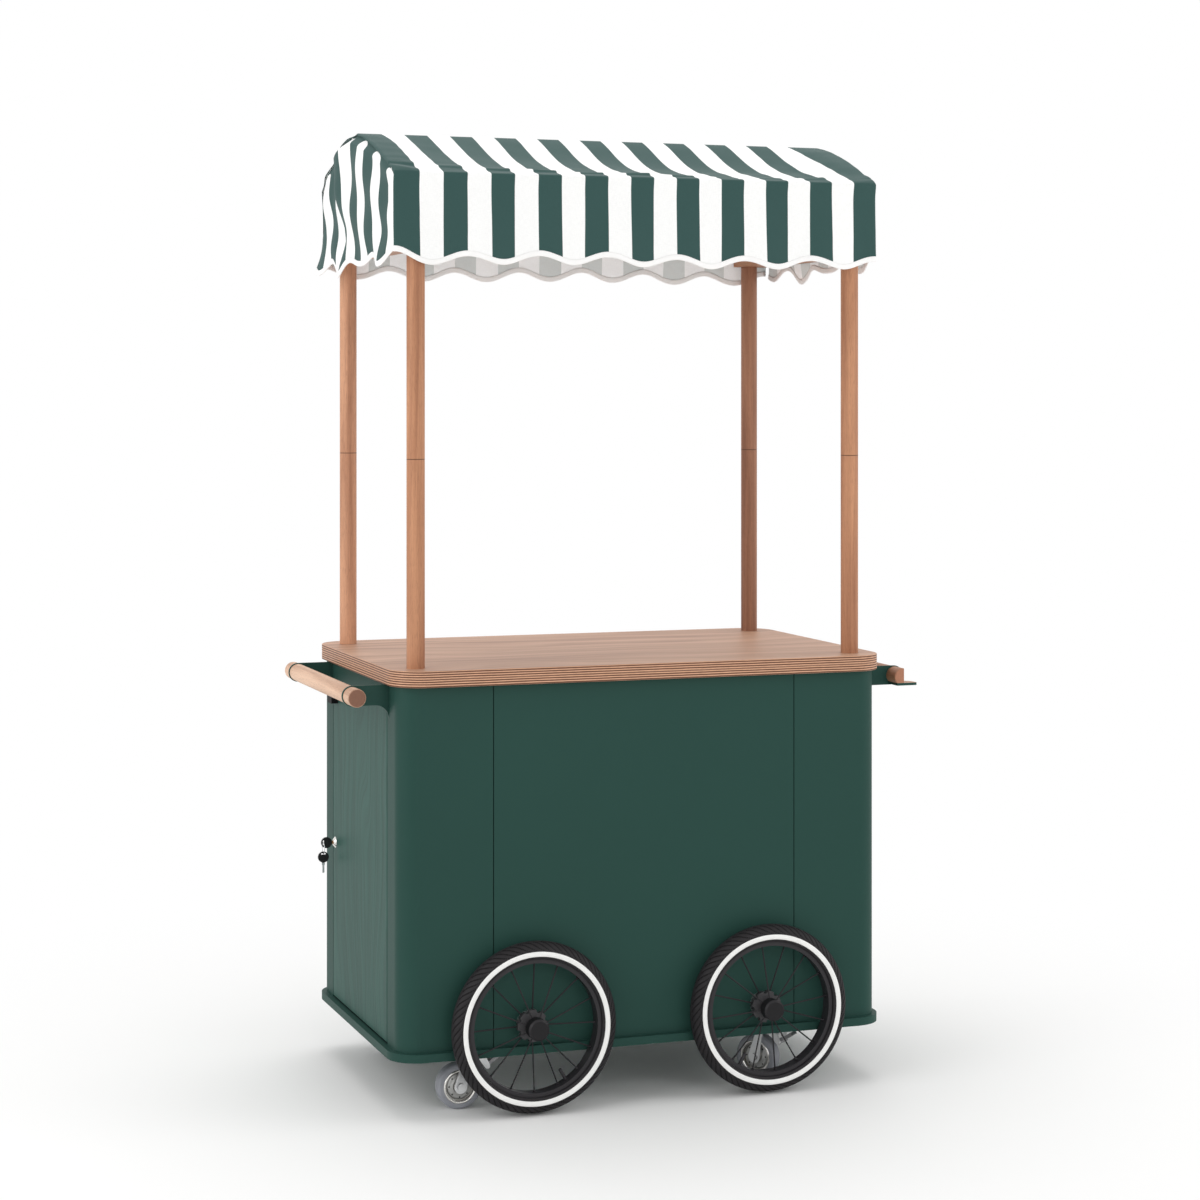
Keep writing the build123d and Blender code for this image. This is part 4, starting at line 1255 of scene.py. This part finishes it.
@dataclass
class SpokedWheel:
    """Front wheel: tyre with a ribbed tread and a white ring, and the nipples of its spokes."""

    NIPPLE: ClassVar[tuple[tuple[float, float], ...]] = (
        (0.0, 0.55), (0.1, 0.72), (0.72, 0.8), (0.75, 1.25), (1.0, 1.25))

    side: Side
    rubber: Material
    # Darker rubber for the tread's grooves: painted shade in the grooves.
    grooves: Material
    white: Material
    black: Material
    section: float = 23.5 * MM
    bead: float = 150.4 * MM
    wall: float = 4.0 * MM
    section_steps: int = 47
    inside_steps: int = 11
    lugs: int = 66
    lug_steps: int = 14
    groove: float = 1.5 * MM
    ring_inner: float = 156.5 * MM
    ring_outer: float = 167.5 * MM
    ring_raise: float = 0.7 * MM
    ring_root: float = 1.2 * MM
    ring_steps: int = 192
    ring_points: int = 9
    spokes: int = 16
    rim_depth: float = 9 * MM
    nipple_length: float = 11 * MM
    nipple_r: float = 2.3 * MM
    cap_r: float = 24 * MM
    cap_length: float = 27 * MM
    flange_r: float = 37 * MM
    right_turn: float = math.radians(299.0)

    def __post_init__(self) -> None:
        """Take the wheel's place from its solids."""
        self.word = self.side.name.lower()
        low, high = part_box(f"{self.word}_wheel_tyre")
        self.axle = Axle(np.array((low + high) / 2), np.array((0.0, 1.0, 0.0)))
        self.ring_r = (high.z - low.z) / 2 - self.section
        self.hub_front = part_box(f"{self.word}_wheel_hub")[0].y
        self.body = f"{self.word}_wheel"

    def build(self, shell: Material, cap: Material) -> None:
        """Make the tyre, its white ring and the spoke nipples, and dress the hub.

        Args:
            shell: Finish of the hub's flange, a lighter grey that paints the light on its sides.
            cap: Finish of the hub cap's face and wall.
        """
        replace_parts(self.tyre(), f"{self.word}_wheel_tyre")
        self.white_ring()
        self.nipples()
        # The flange's slot takes the lighter grey, painted light on the flange.
        dress_faces(f"{self.word}_wheel_hub", self.hub_slot, self.black, shell, cap)

    def tyre(self) -> Piece:
        """Tyre with slanting grooves across its tread and an open inside.

        Returns:
            The new object.
        """
        bead = self.bead - self.ring_r
        lip = math.acos(bead / self.section)
        outer = np.linspace(-lip, lip, self.section_steps)
        inner_r = self.section - self.wall
        inner = np.linspace(1, -1, self.inside_steps) * math.acos(bead / inner_r)
        angle = circle(self.lug_steps * self.lugs)[:, None]
        cut = self.tread(outer, angle)
        section = self.section - self.groove * cut
        outside = self.axle.around(self.ring_r + section * np.cos(outer), section * np.sin(outer), angle)
        inside = self.axle.around(self.ring_r + inner_r * np.cos(inner), inner_r * np.sin(inner), angle)
        piece = swept_ring(f"{self.word}_wheel_tread", np.concatenate([outside, inside], axis=1), self.body)
        # The grooves take the darker rubber, painted shade in the grooves.
        deep = np.pad(cut > 0.5, ((0, 0), (0, len(inner))))
        dress(piece, self.rubber, self.grooves, slots=deep.astype(np.int32).ravel())
        return piece

    def tread(self, outer: Array, angle: Array) -> Array:
        """Share of the groove's depth around the tyre.

        Args:
            outer: Angles across the tyre's section, 0 at the crown.
            angle: Angles around the wheel, one in each row.

        Returns:
            Shares between 0 and 1.
        """
        crown = np.abs(outer)
        slant = self.lugs * angle / TURN + 2.3 * crown + 0.22 * np.sin(4.2 * crown) + 0.5 * (outer > 0)
        cut = 1 - smooth(0.08, 0.3, np.abs((slant % 1.0) - 0.5) * 2)
        return cut * (1 - smooth(1.15, 1.5, crown)) * smooth(0.1, 0.3, crown)

    def white_ring(self) -> None:
        """Raised white ring on the outer side of the tyre."""
        radius = np.linspace(self.ring_inner, self.ring_outer, self.ring_points)
        surface = np.sqrt(self.section ** 2 - (radius - self.ring_r) ** 2)
        swell = np.clip(3.2 * np.sin(np.linspace(0.08, math.pi - 0.08, self.ring_points)), 0, 1)
        loop_r = np.concatenate([radius, radius[::-1]])
        loop_y = -np.concatenate([surface + self.ring_raise * swell, surface[::-1] - self.ring_root])
        sections = self.axle.around(loop_r, loop_y, circle(self.ring_steps)[:, None])
        piece = swept_ring(f"{self.word}_wheel_white_ring", sections[:, ::-1], self.body)
        dress(piece, self.white)

    def hub_slot(self, face: Face) -> int:
        """Slot of one of the hub's faces.

        Args:
            face: Face of the hub.

        Returns:
            0 for the spokes and the cap's sloping edge, 1 for the flange, whose lighter grey is painted
            light, 2 for the cap's face and wall.
        """
        far = math.hypot(face.center.x - self.axle.centre[0], face.center.z - self.axle.centre[2])
        if face.center.y < self.hub_front + self.cap_length and far < self.cap_r:
            return 0 if 0.2 < -face.normal.y < 0.95 else 2
        return int(far < self.flange_r)

    def nipples(self) -> None:
        """Spoke nipples around the inside of the rim."""
        low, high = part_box(f"{self.word}_wheel_rim")
        foot = (high.z - low.z) / 2 - self.rim_depth - self.nipple_length
        turn = self.right_turn if self.side is Side.RIGHT else 0.0
        angles = [turn + TURN * k / self.spokes for k in range(self.spokes)]
        directions = [np.array((math.cos(a), 0.0, math.sin(a))) for a in angles]
        places = [(self.axle.centre + foot * direction, direction) for direction in directions]
        rings = [(share * self.nipple_length, width * self.nipple_r) for share, width in self.NIPPLE]
        piece = pegs(f"{self.word}_wheel_nipples", places, rings, self.body)
        dress(piece, self.black)


@dataclass
class CasterTrim:
    """Bright bead and riveted dish on both faces of a caster's wheel."""

    corner: Corner
    bright: Material
    dish: Material
    dark: Material
    width: float = 32 * MM
    bead_r: float = 35 * MM
    bead: float = 2.4 * MM
    bead_points: int = 12
    dish_outer: float = 29.5 * MM
    dish_inner: float = 14.8 * MM
    dish_depth: float = 5 * MM
    dish_sheet: float = 1.2 * MM
    dish_points: int = 9
    ring_steps: int = 64
    rivet_circle: float = 24 * MM
    rivet_r: float = 1.9 * MM
    rivet_root: float = 0.3 * MM
    rivets: int = 8
    head_r: float = 8.3 * MM
    head_foot: float = 21 * MM

    def __post_init__(self) -> None:
        """Take the wheel's axle from its joint."""
        name = f"{self.corner.value}_roll"
        joint = next(j for j in frame["joints"] if j["name"] == name)
        self.axle = Axle(np.array(joint["pos_m"]), np.array(joint["axis"], float))
        self.body = f"{self.corner.value}_roller"

    def build(self, plate: Material, axle: Material) -> None:
        """Make the bead, dish and rivets of each face, and dress the fork.

        Args:
            plate: Finish of the fork's plate and of the axle heads' faces.
            axle: Finish of the axle heads' rims, darker than the plate, as painted shade round each head.
        """
        for face, sign in (("near", 1), ("far", -1)):
            stem = f"{self.corner.value}_caster_{face}"
            bead = self.ring(f"{stem}_bead", *self.bead_section(sign))
            dish = self.ring(f"{stem}_dish", *self.dish_section(sign))
            studs = self.studs(f"{stem}_rivets", sign)
            for piece, finish in ((bead, self.bright), (dish, self.dish), (studs, self.dark)):
                dress(piece, finish)
        # The axle heads' rims take the darker finish: painted shade round each head.
        dress_faces(f"{self.corner.value}_caster_fork", self.on_head_rim, plate, axle)

    def on_head_rim(self, face: Face) -> bool:
        """Test for the rim of an axle head.

        Args:
            face: Face of the fork.

        Returns:
            Whether the face is part of such a rim.
        """
        away = np.array(face.center) - self.axle.centre
        along = away @ self.axle.axis
        off = np.linalg.norm(away - self.axle.axis * along)
        sideways = abs(np.array(face.normal) @ self.axle.axis) < 0.5
        return bool(sideways and off < self.head_r and abs(along) > self.head_foot)

    def ring(self, name: str, radius: Array, along: Array) -> Piece:
        """Turned ring with a closed section."""
        sections = self.axle.around(radius, along, circle(self.ring_steps)[:, None])
        return swept_ring(name, sections, self.body)

    def bead_section(self, sign: int) -> tuple[Array, Array]:
        """Closed oval section of a bead: radii, and distances along the axle."""
        around = circle(self.bead_points)
        return (self.bead_r + self.bead * np.cos(around),
                sign * self.width / 2 + self.bead * 0.6 * np.sin(around))

    def dish_section(self, sign: int) -> tuple[Array, Array]:
        """Closed section of a pressed dish.

        Args:
            sign: Face of the wheel.

        Returns:
            Radii, and distances along the axle.
        """
        radius = np.linspace(self.dish_inner, self.dish_outer, self.dish_points)
        share = np.linspace(0, 1, self.dish_points)
        face = self.width / 2 - self.dish_depth
        face = face - 2.0 * MM * smooth(0.75, 1.0, share) + 1.5 * MM * hump(0.0, 0.3, share)
        loop = np.concatenate([face, face[::-1] - self.dish_sheet])
        return np.concatenate([radius, radius[::-1]]), sign * loop

    def studs(self, name: str, sign: int) -> Piece:
        """Round rivets in a circle on one dish.

        Args:
            name: Name of the piece.
            sign: Face of the wheel.

        Returns:
            The new object.
        """
        level = sign * (self.width / 2 - self.dish_depth - self.rivet_root)
        feet = self.axle.around(self.rivet_circle, level, circle(self.rivets))
        rings = [(0.0, self.rivet_r), (0.5 * MM, self.rivet_r), (0.9 * MM, 0.6 * self.rivet_r)]
        return pegs(name, [(foot, sign * self.axle.axis) for foot in feet], rings, self.body)


@dataclass
class Keys:
    """The key in the lock and the spare key: black heads and bare blades on the solids' own faces."""

    plastic: Material
    brass: Material
    steel: Material
    head: float = 26.1 * MM
    hang: float = 47.6 * MM
    ring_top: float = 6 * MM
    head_half: float = 2.6 * MM

    def __post_init__(self) -> None:
        """Take the keys' places from their solids."""
        self.blade_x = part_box("door_key")[0].x + self.head
        low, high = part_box("spare_key")
        self.spare_y = (low.y + high.y) / 2
        self.spare_top = high.z

    def build(self) -> None:
        """Split the faces of both keys between plastic and metal."""
        dress_faces("door_key", self.on_blade, self.plastic, self.brass)
        dress_faces("spare_key", self.on_spare_metal, self.plastic, self.steel)

    def on_blade(self, face: Face) -> bool:
        """Test for a face of the blade in the lock."""
        return face.center.x > self.blade_x

    def on_spare_metal(self, face: Face) -> bool:
        """Test for a face of the spare key's ring or blade.

        Args:
            face: Face of the spare key.

        Returns:
            Whether the face is bare metal.
        """
        below = self.spare_top - face.center.z
        aside = abs(face.center.y - self.spare_y)
        return aside > self.head_half or below > self.hang or below < self.ring_top


@dataclass(frozen=True)
class Lamp:
    """Square soft lamp that points at a target."""

    name: str
    place: tuple[float, float, float]
    target: tuple[float, float, float]
    size: float
    power: float

    def build(self) -> None:
        """Add the lamp."""
        data = bpy.data.lights.new(self.name, "AREA")
        data.size = self.size
        data.energy = self.power
        lamp = add_object(self.name, data)
        lamp.location = self.place
        lamp.rotation_euler = (Vector(self.target) - Vector(self.place)).to_track_quat("-Z", "Y").to_euler()


@dataclass
class Studio:
    """Pale floor, soft light and the photograph's camera."""

    LAMPS: ClassVar[tuple[Lamp, ...]] = (
        Lamp("left_window", (-4.4, -0.9, 2.7), (0.0, 0.0, 1.1), size=4.2, power=84.0),
        Lamp("right_window", (3.9, -1.8, 2.4), (0.3, 0.0, 1.1), size=2.6, power=42.0),
        Lamp("front_fill", (0.2, -6.5, 2.8), (0.0, 0.0, 1.0), size=4.0, power=69.0),
        Lamp("top_bank", (0.2, 1.6, 6.6), (0.0, 0.0, 0.9), size=5.0, power=138.0),
    )

    middle: Vector
    camera_x: float = -2.08544
    camera_y: float = -5.95177
    camera_z: float = 1.58154
    yaw: float = 19.43
    sensor: float = 36.0
    lens: float = 80.64
    drop: float = -0.17727
    view_end: float = 200.0
    floor_size: float = 60.0
    fade_start: float = 0.5
    fade_end: float = 2.3
    ambient: float = 0.64

    def build(self) -> None:
        """Set the floor, the surroundings, the lamps and the camera."""
        self.floor()
        self.surroundings()
        for lamp in self.LAMPS:
            lamp.build()
        self.camera()
        bpy.context.scene.view_settings.view_transform = "Standard"

    def floor(self) -> None:
        """Wide pale floor that keeps the cart's shadow and fades to white around it."""
        half = self.floor_size / 2
        corners = [(-half, -half, 0), (half, -half, 0), (half, half, 0), (-half, half, 0)]
        mesh = bpy.data.meshes.new("studio_floor")
        mesh.from_pydata(corners, [], [(0, 1, 2, 3)])
        floor = add_object("studio_floor", mesh)
        shader = Shader("studio_floor")
        shader.set(Base_Color=srgb(247, 247, 246), Roughness=0.75, Specular_IOR_Level=0.2)
        far = shader.node("ShaderNodeVectorMath", {0: shader.place()}, "Value", operation="LENGTH")
        seen = shader.math("MULTIPLY", shader.step(far, self.fade_start, self.fade_end), shader.plain_rays())
        glow = shader.node("ShaderNodeEmission", {"Color": WHITE, "Strength": 1.0})
        mixed = shader.node("ShaderNodeMixShader", {0: seen, 1: shader.surface.outputs[0], 2: glow})
        output = next(node for node in shader.tree.nodes if node.type == "OUTPUT_MATERIAL")
        shader.feed(output.inputs["Surface"], mixed)
        dress(floor, shader.material)

    def surroundings(self) -> None:
        """White surroundings for the camera and in reflections, with softer light on the cart."""
        world = bpy.data.worlds.new("studio")
        world.use_nodes = True
        nodes = Nodes(world.node_tree)
        background = nodes.tree.nodes["Background"]
        nodes.feed(background.inputs["Color"], WHITE)
        nodes.feed(background.inputs["Strength"], nodes.between(nodes.plain_rays(), self.ambient, 1.0))
        bpy.context.scene.world = world

    def camera(self) -> None:
        """Level camera at the photograph's place, with the frame shifted down to the cart."""
        data = bpy.data.cameras.new("photo_camera")
        data.sensor_width = self.sensor
        data.lens = self.lens
        data.shift_y = self.drop
        data.clip_end = self.view_end
        camera = add_object("photo_camera", data)
        camera.location = (self.camera_x + self.middle.x, self.camera_y + self.middle.y, self.camera_z)
        camera.rotation_euler = (math.pi / 2, 0.0, -math.radians(self.yaw))
        bpy.context.scene.camera = camera


@dataclass
class Cart:
    """The whole cart: finishes on the solid pieces, and the soft and fine pieces made here."""

    NODE_FINISH: ClassVar[dict[str, str]] = {
        "counter_upper_board": "ply", "counter_lower_board": "ply", "bar_tongue": "ply",
        "side_door": "door_paint", "plinth_board": "plinth_paint", "roof_rails": "rail",
        "seam_battens": "batten", "caster_plates": "zinc", "caster_screws": "zinc", "post_studs": "zinc",
        "wheel_axles": "zinc", "door_pins": "zinc", "door_lock": "chrome", "lock_plug": "brass",
        "door_pull": "pull", "canopy_cover": "canvas", "rear_right_post": "dark_post",
        "rear_left_post": "pale_post", "right_handle_bar": "brown_bar",
    }
    ENDING_FINISH: ClassVar[dict[str, str]] = {
        "_handle_arms": "arm_paint", "_post": "post", "_handle_bar": "bar", "_wheel_rim": "rim",
        "_wheel_hub": "black", "_caster_tyre": "caster_rubber", "_caster_core": "caster_core",
        "_caster_fork": "zinc", "_brake_pedal": "pedal", "_end_rail": "rail", "_gable_board": "rail",
        "_wheel_tyre": "tyre", "_end_flap": "canvas",
    }

    lower_post: float = 457 * MM

    def __post_init__(self) -> None:
        """Find the middle of the counter's top, the joint of the posts and the patch under the door."""
        low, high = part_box("counter_upper_board")
        self.middle = Vector(((low.x + high.x) / 2, (low.y + high.y) / 2, high.z))
        self.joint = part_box("front_left_post")[0].z + self.lower_post
        low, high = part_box("side_door")
        self.under_door = Patch(((low.x + high.x) / 2, (low.y + high.y) / 2),
                                ((high.x - low.x) / 2, (high.y - low.y) / 2))

    def finishes(self) -> dict[str, Material]:
        """Make every finish of the cart.

        Returns:
            The materials by short names.
        """
        made = {
            "paint": GreenPaint("green_paint"),
            # The plinth's top under the door takes painted shade for the shadow in the gap.
            "plinth_paint": GreenPaint("green_plinth_paint_gap_shade", covered=self.under_door),
            "door_paint": GreenPaint("green_stained_ply", srgb(41, 77, 69), grain=1.2, gloss=0.16),
            "arm_paint": GreenPaint("green_enamel", roughness=0.42),
            "ply": StainedPly("stained_birch_ply", level=self.middle.z),
            "post": StainedWood("stained_post_wood", Along.Z, srgb(200, 145, 109), srgb(150, 99, 71),
                                srgb(136, 92, 70), self.joint),
            "dark_post": StainedWood("dark_post_wood", Along.Z, srgb(166, 118, 91), srgb(124, 81, 60),
                                     srgb(120, 81, 62), self.joint),
            "pale_post": StainedWood("pale_post_wood", Along.Z, srgb(214, 160, 126), srgb(165, 115, 87),
                                     srgb(142, 98, 76), self.joint),
            "bar": StainedWood("oiled_bar_wood", Along.Y, srgb(226, 190, 163), srgb(182, 141, 115),
                               srgb(124, 87, 69)),
            "brown_bar": StainedWood("brown_bar_wood", Along.Y, srgb(186, 138, 108), srgb(140, 96, 72),
                                     srgb(168, 116, 90)),
            "rail": StainedWood("stained_rail_wood", Along.Y, srgb(186, 136, 102), srgb(146, 98, 70),
                                srgb(128, 86, 62)),
            "batten": StainedWood("plain_pine", Along.Z, srgb(214, 184, 142), srgb(190, 152, 108),
                                  srgb(176, 138, 100)),
            "canvas": Canvas("striped_canvas", srgb(249, 249, 248), srgb(53, 82, 79)),
            "canvas_inside": Canvas("striped_canvas_inside", srgb(250, 248, 248), srgb(206, 209, 208),
                                    through=1.0),
            "tape": Canvas("white_tape", srgb(248, 247, 246)),
            "tyre": Rubber("tyre_rubber", srgb(33, 31, 33), srgb(50, 48, 50), 0.6, 0.22),
            # Darker rubber of the tread's grooves: painted shade in the grooves.
            "grooves": Rubber("tyre_groove_shade", srgb(21, 20, 21), srgb(30, 29, 30), 0.8, 0.12),
            "white_ring": Rubber("white_sidewall", srgb(240, 240, 238), srgb(226, 225, 222), 0.5),
            "black": Coating("black_powder_coat", srgb(30, 28, 31), 0.42, 0.28),
            "caster_rubber": Rubber("grey_caster_rubber", srgb(149, 151, 158), srgb(126, 128, 134), 0.55),
            "caster_core": Metal("caster_web", srgb(206, 204, 200), 0.36, 0.16),
            "dish": Metal("caster_dish", srgb(186, 186, 184), 0.38, 0.2),
            "zinc": Metal("bright_zinc", srgb(228, 229, 230), 0.34, 0.14),
            # Dull zinc: the brake pedals' own finish, also used as painted shade on the axle heads' rims.
            "pedal": Metal("dull_zinc_and_head_rim_shade", srgb(158, 158, 160), 0.42, 0.16),
            "chrome": Metal("polished_chrome", srgb(232, 230, 226), 0.14, 0.06),
            "brass": Metal("aged_brass", srgb(168, 132, 96), 0.32, 0.14),
            "plastic": Coating("black_plastic", srgb(24, 23, 24), 0.28),
            "rim": Coating("black_rim", srgb(41, 39, 42), 0.4, 0.3),
            "pull": Coating("black_pull", srgb(20, 20, 22), 0.55, 0.12),
            # Lighter grey of the hub's flange: painted light on its sides.
            "hub": Coating("hub_flange_painted_light", srgb(66, 65, 67), 0.42, 0.3),
            "hub_cap": Coating("black_hub_cap", srgb(25, 24, 26), 0.5, 0.2),
        }
        return {key: finish.make() for key, finish in made.items()}

    def finish_of(self, node: str) -> str:
        """Short name of the finish that a solid piece takes."""
        by_ending = (finish for ending, finish in self.ENDING_FINISH.items() if node.endswith(ending))
        return self.NODE_FINISH.get(node) or next(by_ending, "paint")

    def build(self) -> None:
        """Dress the solids and make the pieces that belong to the looks."""
        made = self.finishes()
        for node, piece in frame["nodes"].items():
            dress(piece, made[self.finish_of(node)])
            log.info("solid %s: %s", node, self.finish_of(node))
        dress_faces("bar_tongue", lambda face: face.normal.z < 0.5, made["ply"], made["arm_paint"])
        Keys(made["plastic"], made["brass"], made["zinc"]).build()
        Canopy(made["canvas"], made["canvas_inside"], made["tape"]).build()
        for side in Side:
            wheel = SpokedWheel(side, made["tyre"], made["grooves"], made["white_ring"], made["black"])
            wheel.build(made["hub"], made["hub_cap"])
        for corner in Corner:
            # The pedal's dull zinc also paints shade on the axle heads' rims.
            CasterTrim(corner, made["chrome"], made["dish"], made["black"]).build(made["zinc"], made["pedal"])


def main() -> None:
    """Build the cart and its studio."""
    logging.basicConfig(level=logging.INFO)
    cart = Cart()
    cart.build()
    Studio(cart.middle).build()


if __name__ == "__main__":
    main()
